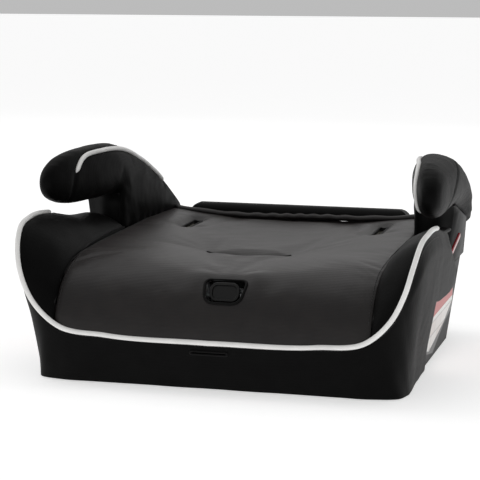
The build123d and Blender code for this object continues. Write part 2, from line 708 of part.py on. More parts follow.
# ---------------------------------------------------------------- the padding and the fabric
foam_room = adjuster_box(WELL[0] + 2 * (WELL_WALL + GAP), WELL[1] + 2 * (WELL_WALL + GAP), -FAR, 2 * WELL_DEEP)
opening = adjuster_box(*OPENING, -REACH, CHANNEL_DEEP, OPENING_CORNER, OPENING_UP)
opening_edge = adjuster_box(OPENING[0] + 2 * BINDING, OPENING[1] + 2 * BINDING, -REACH, CHANNEL_DEEP,
                            OPENING_CORNER + BINDING, OPENING_UP)
opening_cut = adjuster_box(OPENING[0] + 2 * (BINDING + EDGE_CLEAR), OPENING[1] + 2 * (BINDING + EDGE_CLEAR),
                           -REACH, CHANNEL_DEEP, OPENING_CORNER + BINDING + EDGE_CLEAR, OPENING_UP)
piping_groove = front_piping_tube(PIPING_R + PIPING_CLEAR)

with BuildPart() as seat_foam:
    add(under_fabric)
    add(seat_block(UNDER, FOAM_TOP + FOAM), mode=Mode.SUBTRACT)
    add(foam_room, mode=Mode.SUBTRACT)
    add(slots, mode=Mode.SUBTRACT)
write(seat_foam.part, "seat_foam")

with BuildPart() as seat_cover:
    add(seat_block(0, 0, FLANGE_REAR))
    add(seat_block(0, SEAT_FABRIC, SEAT_REAR + GAP), mode=Mode.SUBTRACT)
    add(seat_block(0, SHELL_TOP - GAP, FAR), mode=Mode.SUBTRACT)
    add(harness_slots(BINDING + EDGE_CLEAR), mode=Mode.SUBTRACT)
    add(opening_cut, mode=Mode.SUBTRACT)
    add(piping_groove, mode=Mode.SUBTRACT)
write(seat_cover.part, "seat_cover")

seat_skin = seat_block(0, -BINDING_HIGH) - seat_block(0, SEAT_FABRIC)
with BuildPart() as crotch_slot_binding:
    add(slot_block(*CROTCH_SLOT, 0, CROTCH_Y, BINDING))
    add(slot_block(*CROTCH_SLOT, 0, CROTCH_Y), mode=Mode.SUBTRACT)
    add(seat_skin, mode=Mode.INTERSECT)
write(crotch_slot_binding.part, "crotch_slot_binding")

with BuildPart() as hip_slot_binding:
    add(slot_block(*HIP_SLOT, HIP_X, HIP_Y, BINDING))
    add(slot_block(*HIP_SLOT, HIP_X, HIP_Y), mode=Mode.SUBTRACT)
    add(seat_skin, mode=Mode.INTERSECT)
write_pair(hip_slot_binding.part, "hip_slot_binding")

with BuildPart() as adjuster_opening_binding:
    add(opening_edge)
    add(opening, mode=Mode.SUBTRACT)
    add(seat_skin, mode=Mode.INTERSECT)
write(adjuster_opening_binding.part, "adjuster_opening_binding")

with BuildPart() as wing_cover:
    add(wing_block(UNDER, 0))
    add(wing_block(UNDER, COVER), mode=Mode.SUBTRACT)
    add(piping_groove, mode=Mode.SUBTRACT)
write_pair(wing_cover.part, "wing_cover")

with BuildPart() as front_skirt:
    add(envelope(0))
    add(envelope(COVER), mode=Mode.SUBTRACT)
    add(both_sides(side_prism(FLAP, 12)) + box_at((-SEAT_HALF, SEAT_HALF), (-FAR, 0), (0, FAR)),
        mode=Mode.INTERSECT)
    add(above(SEAT_SIDE, SEAT_ROUND, FOAM_TOP, SEAT_HALF), mode=Mode.SUBTRACT)
    add(above(WING_SIDE, WING_ROUND, 0, FAR, SEAT_HALF), mode=Mode.SUBTRACT)
    add(valley(0), mode=Mode.SUBTRACT)
    add(both_sides(arm_pocket(GAP)), mode=Mode.SUBTRACT)
    add(piping_groove, mode=Mode.SUBTRACT)
    add(slit_block(BINDING + EDGE_CLEAR), mode=Mode.SUBTRACT)
write(front_skirt.part, "front_skirt")

with BuildPart() as front_slit_binding:
    add(slit_block(BINDING))
    add(slit_block(0), mode=Mode.SUBTRACT)
    add(envelope(-BINDING_HIGH / 2), mode=Mode.INTERSECT)
    add(envelope(COVER), mode=Mode.SUBTRACT)
write(front_slit_binding.part, "front_slit_binding")

with BuildPart() as front_piping:
    add(front_piping_tube(PIPING_R))
write(front_piping.part, "front_piping")

arm_inner_x = SEAT_HALF + 2 * COVER
with BuildPart() as armrest_cover:
    add(armrest(0, COVER_LOW))
    add(armrest(COVER, COVER_LOW), mode=Mode.SUBTRACT)
    add(box_at((arm_inner_x, FAR), (0, FAR), (0, HORN_UNDER)), mode=Mode.SUBTRACT)
    add(tube(ARM_PIPING, ARM_PIPING_ROUND, PIPING_R + PIPING_CLEAR), mode=Mode.SUBTRACT)
write_pair(armrest_cover.part, "armrest_cover")

with BuildPart() as armrest_piping:
    add(tube(ARM_PIPING, ARM_PIPING_ROUND, PIPING_R))
write_pair(armrest_piping.part, "armrest_piping")
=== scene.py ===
# %% [markdown]
# # A backless booster seat
# The object is a moulded plastic tub with two hooked armrests, dressed in black padded fabric with
# white piping. The hard parts come ready made from the CAD frame. This notebook makes the soft goods
# that cover them, gives every surface a material, and sets up a pale studio.

from math import atan2, cos, pi, radians, sin

import bmesh
import bpy
import numpy as np
from mathutils import Matrix, Vector, noise
from mathutils.bvhtree import BVHTree


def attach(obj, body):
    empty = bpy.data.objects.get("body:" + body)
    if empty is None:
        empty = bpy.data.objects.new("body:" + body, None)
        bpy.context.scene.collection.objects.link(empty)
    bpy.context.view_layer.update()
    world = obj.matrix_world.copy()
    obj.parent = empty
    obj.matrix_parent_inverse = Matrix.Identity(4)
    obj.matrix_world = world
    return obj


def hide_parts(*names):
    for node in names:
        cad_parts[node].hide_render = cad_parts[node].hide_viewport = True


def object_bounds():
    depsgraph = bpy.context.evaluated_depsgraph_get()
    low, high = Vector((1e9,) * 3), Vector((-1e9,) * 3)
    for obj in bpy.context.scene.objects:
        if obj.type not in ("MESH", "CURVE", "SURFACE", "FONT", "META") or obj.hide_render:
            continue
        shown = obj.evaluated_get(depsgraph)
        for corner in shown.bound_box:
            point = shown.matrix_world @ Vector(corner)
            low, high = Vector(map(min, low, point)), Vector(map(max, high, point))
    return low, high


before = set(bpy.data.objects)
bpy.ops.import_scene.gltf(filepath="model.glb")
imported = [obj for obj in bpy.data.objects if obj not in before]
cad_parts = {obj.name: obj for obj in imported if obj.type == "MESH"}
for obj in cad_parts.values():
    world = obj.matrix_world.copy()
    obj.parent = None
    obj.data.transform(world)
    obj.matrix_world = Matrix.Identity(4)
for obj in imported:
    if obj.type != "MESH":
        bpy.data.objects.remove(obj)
cad_low, cad_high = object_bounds()
MM = 0.001
print("CAD box in mm:", [round((h - l) / MM) for l, h in zip(cad_low, cad_high)])

# %% [markdown]
# ## Camera, floor and light
# The seat is seen from a little to its right and a little above. A long lens keeps the perspective
# gentle, as in a catalogue. The room is a white world with three large soft lamps: fabric this dark
# shows its form only through sheen, and sheen needs something broad and bright to catch.

# %% Camera
AZIMUTH, ELEVATION, ROLL = radians(14.21), radians(9.15), radians(0.47)
DISTANCE, LOOK_AT = 1.9617, Vector((0, 0.008, 0.1))
SENSOR_WIDTH_MM, FOCAL_LENGTH_MM = 36.0, 132.5
SHIFT_RIGHT, SHIFT_UP = -0.0427083, 0.0489583
back = Vector((sin(AZIMUTH) * cos(ELEVATION), -cos(AZIMUTH) * cos(ELEVATION), sin(ELEVATION)))
right = Vector((cos(AZIMUTH), sin(AZIMUTH), 0))
turn = Matrix.Rotation(ROLL, 3, back)
right = turn @ right
up = back.cross(right)
lens = bpy.data.cameras.new("camera")
lens.sensor_width, lens.lens = SENSOR_WIDTH_MM, FOCAL_LENGTH_MM
lens.shift_x, lens.shift_y = SHIFT_RIGHT, SHIFT_UP
lens.clip_end = 20
camera = bpy.data.objects.new("camera", lens)
bpy.context.scene.collection.objects.link(camera)
eye = LOOK_AT + back * DISTANCE
camera.matrix_world = Matrix.Translation(eye) @ Matrix((right, up, back)).transposed().to_4x4()
bpy.context.scene.camera = camera
bpy.context.scene.view_settings.view_transform = "Standard"

# %% Lamps and world
# name, place and size in metres, watts
LAMPS = [("overhead", (-0.4, 0.7, 2.2), (2.4, 1.8), 8),
         ("behind", (0.1, 2.9, 1.15), (3.2, 1.0), 3.5),
         ("left", (-2.4, 0.2, 1.2), (1.0, 1.0), 6)]
LAMP_TARGET = Vector((0, 0, 0.1))
WORLD_STRENGTH = 0.5
for name, spot, size, power in LAMPS:
    lamp = bpy.data.lights.new(name, "AREA")
    lamp.shape, lamp.energy = "RECTANGLE", power
    lamp.size, lamp.size_y = size
    holder = bpy.data.objects.new(name, lamp)
    holder.location = spot
    holder.rotation_euler = (LAMP_TARGET - Vector(spot)).to_track_quat("-Z", "Y").to_euler()
    bpy.context.scene.collection.objects.link(holder)

world = bpy.data.worlds.new("studio")
world.use_nodes = True
world.node_tree.nodes["Background"].inputs["Color"].default_value = (1, 1, 1, 1)
world.node_tree.nodes["Background"].inputs["Strength"].default_value = WORLD_STRENGTH
bpy.context.scene.world = world

# %% [markdown]
# ## Finishes
# A material starts from what the real one is and how its surface was made. One helper adds a node
# with its settings and links, and one function turns a hex colour into the linear values that the
# shader wants.

# %% Helpers for node trees


def linear(code):
    """An sRGB hex colour as linear red, green, blue and alpha."""
    parts = [int(code[i:i + 2], 16) / 255 for i in (1, 3, 5)]
    return [p / 12.92 if p <= 0.04045 else ((p + 0.055) / 1.055) ** 2.4 for p in parts] + [1.0]


def node(tree, kind, inputs=None, **settings):
    """Adds one node: settings are its properties, and inputs are its sockets, each a value or an output."""
    made = tree.nodes.new(kind)
    for key, value in settings.items():
        setattr(made, key, value)
    for key, value in (inputs or {}).items():
        socket = made.inputs[key]
        if isinstance(value, bpy.types.NodeSocket):
            tree.links.new(value, socket)
        else:
            socket.default_value = value
    return made


def material(name, **shader):
    """A new material and its Principled shader, with the given sockets set."""
    made = bpy.data.materials.new(name)
    made.use_nodes = True
    surface = made.node_tree.nodes["Principled BSDF"]
    for key, value in shader.items():
        surface.inputs[key.replace("_", " ")].default_value = value
    return made, made.node_tree, surface


def calculated(tree, operation, *values):
    """The output of a maths node."""
    return node(tree, "ShaderNodeMath", dict(enumerate(values)), operation=operation).outputs[0]


def relieve(tree, surface, height, strength, depth_mm):
    """Gives a surface the relief of a height."""
    relief = node(tree, "ShaderNodeBump", {"Strength": strength, "Distance": depth_mm * MM, "Height": height})
    tree.links.new(relief.outputs["Normal"], surface.inputs["Normal"])


def mottled(tree, where, dark, light, scale, detail=3.0):
    """A colour that drifts between two hex colours over the surface; scale is cycles per metre."""
    cloud = node(tree, "ShaderNodeTexNoise", {"Vector": where, "Scale": scale, "Detail": detail})
    ramp = node(tree, "ShaderNodeValToRGB", {"Fac": cloud.outputs["Fac"]})
    ramp.color_ramp.elements[0].position, ramp.color_ramp.elements[1].position = 0.35, 0.68
    ramp.color_ramp.elements[0].color, ramp.color_ramp.elements[1].color = linear(dark), linear(light)
    return ramp.outputs["Color"]


# %% [markdown]
# ### Warp-knit polyester
# The cover is a fine knit laminated to thin foam. Its loops are under a millimetre, too fine to show
# here, so they are drawn at 1.2 mm. Polyester filament is slightly glossy and the raised loops catch
# light at a glancing angle, which the sheen layer gives.

# %% Fabrics
KNIT_PITCH = 1.2 * MM
WAVE_PERIOD = 0.314  # metres between the bands of a wave texture whose scale is 1


def knit(name, dark, light, sheen, gloss, rough, bump=0.2, pitch=KNIT_PITCH):
    """A fine knit: crossed rows of loops as bump, with a colour that drifts and painted shade in the hollows.
    """
    made, tree, surface = material(name, Roughness=rough, Specular_IOR_Level=gloss, Sheen_Weight=sheen,
                                   Sheen_Roughness=0.45, Sheen_Tint=linear("#cfc6c4"))
    where = node(tree, "ShaderNodeTexCoord").outputs["Object"]
    waves = []
    for direction in ("X", "Y", "Z"):
        wave = node(tree, "ShaderNodeTexWave",
                    {"Vector": where, "Scale": WAVE_PERIOD / pitch, "Distortion": 0.6, "Detail": 1.0,
                     "Detail Scale": 2.0}, bands_direction=direction)
        waves.append(wave.outputs["Fac"])
    loops = calculated(tree, "ADD", calculated(tree, "MULTIPLY", waves[0], waves[1]), waves[2])
    colour = mottled(tree, where, dark, light, 45)
    # Painted shade: the base colour is darkened where the loops sink into hollows.
    painted_hollow_shade = node(tree, "ShaderNodeMapRange", {"Value": loops, "From Max": 1.6, "To Min": 0.72})
    shade = node(tree, "ShaderNodeMix", {"Factor": 1.0, 6: colour, 7: painted_hollow_shade.outputs["Result"]},
                 data_type="RGBA", blend_type="MULTIPLY")
    tree.links.new(shade.outputs[2], surface.inputs["Base Color"])
    lint = node(tree, "ShaderNodeTexNoise", {"Vector": where, "Scale": 900.0, "Detail": 2.0})
    height = calculated(tree, "MULTIPLY_ADD", lint.outputs["Fac"], 0.5, loops)
    relieve(tree, surface, height, bump, 0.4)
    return made


seat_knit = knit("warp-knit polyester, seat", "#151111", "#1c1817", 0.12, 0.35, 0.42)
side_knit = knit("warp-knit polyester, sides", "#050505", "#080808", 0.012, 0.06, 0.5)
binding_tape = knit("polyester binding tape", "#080808", "#0d0c0c", 0.02, 0.1, 0.5, pitch=1.1 * MM)

# %% [markdown]
# ### Coated piping
# White piping is a cord wrapped in smooth woven tape. It is nearly matt, a little warm, and slightly
# greyer where hands and clothes rub it.

# %% Piping cord
piping_white, tree, surface = material("woven piping tape, white", Roughness=0.5, Sheen_Weight=0.15)
where = node(tree, "ShaderNodeTexCoord").outputs["Object"]
tree.links.new(mottled(tree, where, "#efeeec", "#faf9f7", 60), surface.inputs["Base Color"])
tape = node(tree, "ShaderNodeTexVoronoi", {"Vector": where, "Scale": 1 / (1.2 * MM), "Randomness": 0.5})
relieve(tree, surface, tape.outputs["Distance"], 0.25, 0.3)

# %% [markdown]
# ### Moulded plastics, steel, foam and film
# Polypropylene shells leave a spark-eroded mould, so they carry a fine pebble and a broad, weak
# gloss. The red guide is polished so that a belt slides over it.

# %% Hard finishes


def moulded(name, dark, light, rough, gloss, pebble_mm, bump):
    """Injection-moulded plastic with the mould's fine pebble."""
    made, tree, surface = material(name, Roughness=rough, Specular_IOR_Level=gloss)
    where = node(tree, "ShaderNodeTexCoord").outputs["Object"]
    tree.links.new(mottled(tree, where, dark, light, 20), surface.inputs["Base Color"])
    pebble = node(tree, "ShaderNodeTexVoronoi", {"Vector": where, "Scale": 1 / (pebble_mm * MM)},
                  feature="SMOOTH_F1")
    relieve(tree, surface, pebble.outputs["Distance"], bump, 0.15)
    scuff = node(tree, "ShaderNodeTexNoise", {"Vector": where, "Scale": 120.0, "Detail": 4.0})
    worn = node(tree, "ShaderNodeMapRange", {"Value": scuff.outputs["Fac"], "To Min": rough - 0.07,
                                             "To Max": rough + 0.08})
    tree.links.new(worn.outputs["Result"], surface.inputs["Roughness"])
    return made


shell_plastic = moulded("moulded polypropylene, black", "#080808", "#0c0c0c", 0.5, 0.16, 1.4, 0.25)
button_plastic = moulded("moulded nylon, black", "#0b0b0b", "#100f0f", 0.35, 0.3, 1.2, 0.2)
guide_plastic = moulded("polished ABS, red", "#8f0c18", "#a61020", 0.2, 0.5, 3.0, 0.05)

steel, tree, surface = material("zinc-plated steel", Metallic=1.0, Roughness=0.32)
where = node(tree, "ShaderNodeTexCoord").outputs["Object"]
tree.links.new(mottled(tree, where, "#a9abad", "#c4c6c6", 150), surface.inputs["Base Color"])
grain = node(tree, "ShaderNodeTexNoise", {"Vector": where, "Scale": 1500.0, "Detail": 2.0})
relieve(tree, surface, grain.outputs["Fac"], 0.1, 0.05)

foam, tree, surface = material("open-cell polyurethane foam", Roughness=0.95)
where = node(tree, "ShaderNodeTexCoord").outputs["Object"]
tree.links.new(mottled(tree, where, "#8e8c83", "#a3a197", 80), surface.inputs["Base Color"])
cells = node(tree, "ShaderNodeTexVoronoi", {"Vector": where, "Scale": 1 / (1.5 * MM)})
relieve(tree, surface, cells.outputs["Distance"], 0.7, 0.5)

# %% [markdown]
# ## Drawing curves and skins
# Sewn fabric is drawn here as pattern pieces: a grid of points whose rows and columns follow the
# seams. Curves are smooth lines through a few given points, in millimetres.

# %% Curves and grids


def through(points, count):
    """Points evenly spaced along a smooth curve through the given ones."""
    given = np.asarray(points, float)
    t = np.append(0, np.cumsum(np.linalg.norm(np.diff(given, axis=0), axis=1)))
    slope = np.gradient(given, t, axis=0)
    fine = np.linspace(0, t[-1], 40 * len(given))
    k = np.clip(np.searchsorted(t, fine, side="right") - 1, 0, len(given) - 2)
    span = (t[k + 1] - t[k])[:, None]
    u = (fine - t[k])[:, None] / span
    curve = ((2 * u**3 - 3 * u**2 + 1) * given[k] + (u**3 - 2 * u**2 + u) * span * slope[k]
             + (3 * u**2 - 2 * u**3) * given[k + 1] + (u**3 - u**2) * span * slope[k + 1])
    length = np.append(0, np.cumsum(np.linalg.norm(np.diff(curve, axis=0), axis=1)))
    wanted = np.linspace(0, length[-1], count)
    return np.stack([np.interp(wanted, length, curve[:, i]) for i in range(curve.shape[1])], axis=1)


def smooth_step(value, low, high):
    """0 below low, 1 above high, and a smooth rise between."""
    t = np.clip((np.asarray(value, float) - low) / (high - low), 0, 1)
    return t * t * (3 - 2 * t)


def bump_at(value, middle, width):
    """A soft hill of height 1."""
    return np.exp(-(((np.asarray(value, float) - middle) / width) ** 2))


def wrinkles(points, size, seed):
    """Smooth noise of about -1 to 1 at each point, with folds of the given size in mm."""
    flat = np.asarray(points, float).reshape(-1, 3)
    values = [noise.noise(Vector(p) / size + Vector((seed, 0, 0))) for p in flat]
    return np.array(values).reshape(np.asarray(points).shape[:-1])


def normals_of(grid):
    """Unit normals of a grid of points, on the side that its faces show."""
    across = np.cross(np.gradient(grid, axis=1), np.gradient(grid, axis=0))
    return across / np.maximum(np.linalg.norm(across, axis=2, keepdims=True), 1e-9)


def facing_out(grid, inside):
    """The grid, its columns turned round if its faces would look towards the inside point."""
    outward = (normals_of(grid) * (grid - np.asarray(inside, float))).sum()
    return grid if outward > 0 else grid[:, ::-1]


def puffed(grid, height):
    """Lifts each point along the normal by the height in mm, a number or a grid of them."""
    return grid + normals_of(grid) * np.broadcast_to(height, grid.shape[:2])[:, :, None]


def new_piece(name, points, faces, finish):
    """A mesh object from points in mm."""
    mesh = bpy.data.meshes.new(name)
    mesh.from_pydata([tuple(p) for p in np.asarray(points) * MM], [], faces)
    mesh.validate()
    mesh.shade_smooth()
    piece = bpy.data.objects.new(name, mesh)
    mesh.materials.append(finish)
    bpy.context.scene.collection.objects.link(piece)
    return piece


def grid_faces(rows, columns, keep=None, wrap=False):
    """Quads between a grid's neighbours: keep(row, column) picks them, and wrap closes the rows."""
    faces = []
    for i in range(rows - 1):
        for j in range(columns if wrap else columns - 1):
            if keep is None or keep(i, j):
                k = (j + 1) % columns
                faces.append((i * columns + j, i * columns + k, (i + 1) * columns + k, (i + 1) * columns + j))
    return faces


def mirrored(grid):
    """The same grid on the seat's left, its columns turned round so that the faces still point out."""
    return grid[:, ::-1] * np.array((-1, 1, 1))


def thicken(piece, thickness, levels=1):
    """Gives a skin its thickness on the inner side and smooths it."""
    wall = piece.modifiers.new("thickness", "SOLIDIFY")
    wall.thickness, wall.offset = thickness * MM, -1
    smooth = piece.modifiers.new("smooth", "SUBSURF")
    smooth.levels = smooth.render_levels = levels
    return piece


def baked(piece):
    """Applies the modifiers of a piece."""
    shape = bpy.data.meshes.new_from_object(piece.evaluated_get(bpy.context.evaluated_depsgraph_get()))
    old = piece.data
    piece.modifiers.clear()
    piece.data = shape
    bpy.data.meshes.remove(old)
    piece.data.shade_smooth()
    return piece


CLOTH_FRAMES = 20


def stuff(piece, pinned, pressure, cap):
    """Inflates a closed pad as cloth: pinned points stay, and no other moves more than cap mm."""
    before = np.array([v.co for v in piece.data.vertices])
    group = piece.vertex_groups.new(name="pinned")
    group.add([int(i) for i in np.flatnonzero(pinned)], 1.0, "REPLACE")
    cloth = piece.modifiers.new("cloth", "CLOTH")
    cloth.settings.vertex_group_mass = "pinned"
    cloth.settings.use_pressure = True
    cloth.settings.uniform_pressure_force = pressure
    cloth.settings.tension_stiffness = cloth.settings.compression_stiffness = 25
    cloth.settings.bending_stiffness = 1.5
    cloth.settings.effector_weights.gravity = 0
    cloth.collision_settings.use_self_collision = False
    scene = bpy.context.scene
    for step in range(1, CLOTH_FRAMES + 1):
        scene.frame_set(step)
    after = np.array([v.co for v in piece.evaluated_get(bpy.context.evaluated_depsgraph_get()).data.vertices])
    piece.modifiers.remove(cloth)
    scene.frame_set(1)
    moved = after - before
    far = np.linalg.norm(moved, axis=1, keepdims=True)
    moved *= np.minimum(1, cap * MM / np.maximum(far, 1e-9))
    piece.data.vertices.foreach_set("co", (before + moved).ravel())
    piece.data.update()
    print(piece.name, "swelled by up to", round(float(far.max()) / MM, 1), "mm")
    return piece


# %% [markdown]
# ## The seat panel
# The panel is one padded piece of knit: up the front slope, over the crest, across the dish and down
# behind the foam. Its side view is a smooth line, and a dish is pressed into it. The lower of the two
# heights is taken with a rounded meeting line, which makes the crest run back from the middle to the
# corners as it does on a real cushion.

# %% Seat panel surface
FRONT_PIPING = np.array([(0, -204.5, 51), (110, -202.5, 53), (160, -203, 60), (184, -205.5, 82),
                         (198, -205, 110), (204.5, -198, 135), (208.5, -180, 155), (211, -146, 162.5),
                         (211, -92, 161), (211, -42, 152), (211, 20, 147)])
HALF = 164.5
SEAT_SIDE = [(-203.5, 53), (-200.5, 68), (-194.5, 84), (-185.5, 98.5), (-172, 110.5), (-154, 119.5),
             (-128, 126.5), (-92, 130.5), (-40, 133), (40, 135), (110, 137), (165, 139), (180, 138.5),
             (185, 134), (186, 124), (186, 113)]
DISH = [(-200, 112.5), (-165, 113), (-120, 114.5), (-45, 116), (60, 118), (183, 121.5)]
ADJUSTER_X = 11.0
CROTCH = {"half": 45.0, "y": -52.0, "rise": 9.0}
HIP = {"x": 113.0, "y": 121.0, "half": 29.0}
COLUMNS, ROWS = 110, 150
SEAM_CROWDING = 0.92  # how closely the grid's columns gather at the seams: 1 is most
DISH_RISE = 18.0  # from the dish's middle to its sides
MEETING_ROUND = 3.2  # roundness where the dish meets the side's line
REAR_TURN_Y, REAR_TOP_Z = 183.0, 139.0  # where the panel turns down behind the foam
PIPING_Z, SLOPE_TOP_Z = 53.0, 105.0  # the front edge's rise at the corners fades out between these


def crotch_line(x):
    """How far back the crotch slot lies at x: it curves like a smile."""
    return CROTCH["y"] + CROTCH["rise"] * (x / CROTCH["half"]) ** 2


def seat_surface():
    """The seat panel as a grid, rows from the front piping to behind the foam."""
    side = through(SEAT_SIDE, ROWS)
    x = HALF * np.sin(np.linspace(-pi / 2, pi / 2, COLUMNS) * SEAM_CROWDING) / sin(pi / 2 * SEAM_CROWDING)
    grid = np.empty((ROWS, COLUMNS, 3))
    grid[:, :, 0], grid[:, :, 1] = x[None, :], side[:, 0][:, None]
    middle = np.interp(side[:, 0], [p[0] for p in DISH], [p[1] for p in DISH])
    power = 1.2 + 0.8 * smooth_step(side[:, 0], -150, -10)
    dish = middle[:, None] + DISH_RISE * np.abs(x[None, :] / HALF) ** power[:, None]
    lower = np.logaddexp(-side[:, 1][:, None] / MEETING_ROUND, -dish / MEETING_ROUND)
    grid[:, :, 2] = -MEETING_ROUND * lower
    behind = side[:, 0] > REAR_TURN_Y
    grid[behind, :, 2] = side[behind, 1][:, None] - REAR_TOP_Z + dish[behind] * 0.6 + REAR_TOP_Z * 0.4
    lift = np.interp(np.abs(x), FRONT_PIPING[:3, 0], FRONT_PIPING[:3, 2]) - PIPING_Z
    grid[:, :, 2] += lift[None, :] * (1 - smooth_step(side[:, 1], PIPING_Z, SLOPE_TOP_Z))[:, None]
    return facing_out(grid, (0, 0, 0))


seat = seat_surface()
x, y = seat[:, :, 0], seat[:, :, 1]
seam_pull = 3.0 * np.exp(-(HALF - np.abs(x)) / 7)
crown = 1.2 * np.clip(1 - (x / HALF) ** 2, 0, 1)
slot_y = y - crotch_line(x)
taper = 1 - smooth_step(np.abs(x), CROTCH["half"] - 14, CROTCH["half"] + 6)
crotch_lips = 2.2 * bump_at(slot_y, -9, 8) + 1.4 * bump_at(slot_y, 14, 9)
crotch_dip = taper * (3.6 * bump_at(slot_y, 1.5, 6) - crotch_lips)
hip_long = np.clip(1 - np.maximum(np.abs(y - HIP["y"]) - HIP["half"], 0) / 14, 0, 1)
hip_x = np.abs(x) - HIP["x"]
hip_lips = 2.0 * bump_at(hip_x, -18, 8) + 1.5 * bump_at(hip_x, 18, 8)
hip_dip = hip_long * (6.5 * bump_at(hip_x, 0, 9) - hip_lips)
notch = 6.5 * bump_at(x, ADJUSTER_X, 24) * bump_at(y, -171, 11)
lips = 4.0 * (bump_at(x, ADJUSTER_X - 26, 15) + bump_at(x, ADJUSTER_X + 27, 14)) * bump_at(y, -166, 15)
folds = 0.9 * wrinkles(seat, 42, 3) + 0.35 * wrinkles(seat, 15, 8)
seat = puffed(seat, crown - seam_pull - crotch_dip - hip_dip - notch + lips + folds)
print("seat panel grid", seat.shape[:2])

# %% [markdown]
# The panel is closed into a pad and blown up a little as cloth. Its seams and slots are pinned, so
# the knit swells between them and pulls tight at them.

# %% Swell the seat panel
rows, columns = seat.shape[:2]
PAD_DEPTH = 12
under = seat - normals_of(seat) * PAD_DEPTH
pad_points = np.concatenate([seat.reshape(-1, 3), under.reshape(-1, 3)])
top_faces = grid_faces(rows, columns)
count = rows * columns
pad_faces = top_faces + [tuple(count + i for i in reversed(face)) for face in top_faces]
rim_loop = (list(range(columns)) + [i * columns + columns - 1 for i in range(1, rows)]
            + [(rows - 1) * columns + j for j in range(columns - 2, -1, -1)]
            + [i * columns for i in range(rows - 2, 0, -1)])
for a, b in zip(rim_loop, rim_loop[1:] + rim_loop[:1]):
    pad_faces.append((b, a, count + a, count + b))
pad = new_piece("seat pad", pad_points, pad_faces, seat_knit)
x, y = seat[:, :, 0], seat[:, :, 1]
near_slot = ((np.abs(np.abs(x) - HIP["x"]) < 12) & (np.abs(y - HIP["y"]) < HIP["half"] + 6)
             | (np.abs(y - crotch_line(x)) < 5) & (np.abs(x) < CROTCH["half"])
             | (np.abs(x - ADJUSTER_X) < 25) & (y < -172))
at_edge = (np.abs(x) > HALF - 2) | (np.indices(x.shape)[0] < 2) | (y > 180)
stuff(pad, np.concatenate([(near_slot | at_edge).ravel(), np.ones(count, bool)]), 4.0, 3.5)
seat = np.array([v.co for v in pad.data.vertices])[:count].reshape(rows, columns, 3) / MM
bpy.data.objects.remove(pad)
seat_skin = BVHTree.FromPolygons([Vector(p) for p in seat.reshape(-1, 3)], top_faces)

# %% [markdown]
# ## Openings and their bindings
# The knit is cut through at the crotch slot, at the two hip slots, at the belt adjuster's opening and
# at the slit above the skirt. Each cut edge is bound with tape, so a thin roll follows every rim.

# %% Outlines of the openings
SLOPE = atan2(28, 13)
SLOPE_UP = Vector((0, cos(SLOPE), sin(SLOPE)))
SLOPE_OUT = Vector((0, -sin(SLOPE), cos(SLOPE)))
WELL_MIDDLE = Vector((ADJUSTER_X, -187.5, 96.5))
ADJUSTER = WELL_MIDDLE + 6 * SLOPE_UP


def rounded_loop(corners, radius, steps=7):
    """A closed outline with its corners rounded, one radius for each corner."""
    points = []
    for i, corner in enumerate(corners):
        here = np.array(corner, float)
        before = np.array(corners[i - 1], float) - here
        after = np.array(corners[(i + 1) % len(corners)], float) - here
        before, after = before / np.linalg.norm(before), after / np.linalg.norm(after)
        half = np.arccos(np.clip(before @ after, -1, 1)) / 2
        start, end = here + before * radius[i] / np.tan(half), here + after * radius[i] / np.tan(half)
        for t in np.linspace(0, 1, steps):
            points.append((1 - t) ** 2 * start + 2 * t * (1 - t) * here + t**2 * end)
    return np.array(points)


def flat_loop(outline, origin, across, along):
    """A drawn outline put in its plane, in mm."""
    return np.array([origin + Vector(across) * u + Vector(along) * v for u, v in outline])


cut = np.linspace(-1, 1, 25) * CROTCH["half"]
lip = 2.2 * np.sqrt(np.clip(1 - (cut / CROTCH["half"]) ** 2, 0.02, 1))
crescent = [(a, crotch_line(a) - b) for a, b in zip(cut, lip)]
crescent += [(a, crotch_line(a) + b) for a, b in zip(cut[::-1], lip[::-1])]
UP = Vector((0, 0, 1))
LEVEL = Vector((0, 0, 118))
OPENINGS = {"crotch_slot_tape": (flat_loop(crescent, LEVEL, (1, 0, 0), (0, 1, 0)), UP)}
for side, sign in (("right", 1), ("left", -1)):
    hip = rounded_loop([(-5, -29), (5, -29), (5, 29), (-5, 29)], [4.5] * 4)
    middle = LEVEL + Vector((sign * HIP["x"], HIP["y"], 0))
    OPENINGS["hip_slot_tape_" + side] = (flat_loop(hip, middle, (1, 0, 0), (0, 1, 0)), UP)
shield = rounded_loop([(-18, -13), (18, -13), (22, 14), (-22, 14)], [12, 12, 7, 7], 10)
OPENINGS["adjuster_opening_tape"] = (flat_loop(shield, ADJUSTER, (1, 0, 0), SLOPE_UP), SLOPE_OUT)


def prism(loop, direction, deep, high):
    """Points and faces of an outline pushed both ways along a direction."""
    direction = np.array(direction)
    ends = np.concatenate([loop - direction * deep, loop + direction * high])
    n = len(loop)
    faces = [tuple(range(n))[::-1], tuple(range(n, 2 * n))]
    faces += [(i, (i + 1) % n, n + (i + 1) % n, n + i) for i in range(n)]
    return ends, faces


def cutter(name, shapes):
    """One hidden mesh from several prisms, for a boolean cut."""
    points, faces = [], []
    for ends, sides in shapes:
        faces += [tuple(i + len(points) for i in face) for face in sides]
        points += list(ends)
    made = new_piece(name, points, faces, seat_knit)
    outward_faces(made)
    return made


def outward_faces(piece):
    """Turns the faces of a closed piece outwards."""
    shape = bmesh.new()
    shape.from_mesh(piece.data)
    bmesh.ops.remove_doubles(shape, verts=shape.verts, dist=0.02 * MM)
    bmesh.ops.recalc_face_normals(shape, faces=shape.faces)
    shape.to_mesh(piece.data)
    shape.free()
    piece.data.shade_smooth()
    return piece


def cut_out(piece, tool):
    """Cuts the tool's shape from a piece and bakes it."""
    knife = piece.modifiers.new("cut", "BOOLEAN")
    knife.object, knife.operation, knife.solver = tool, "DIFFERENCE", "EXACT"
    return outward_faces(baked(piece))


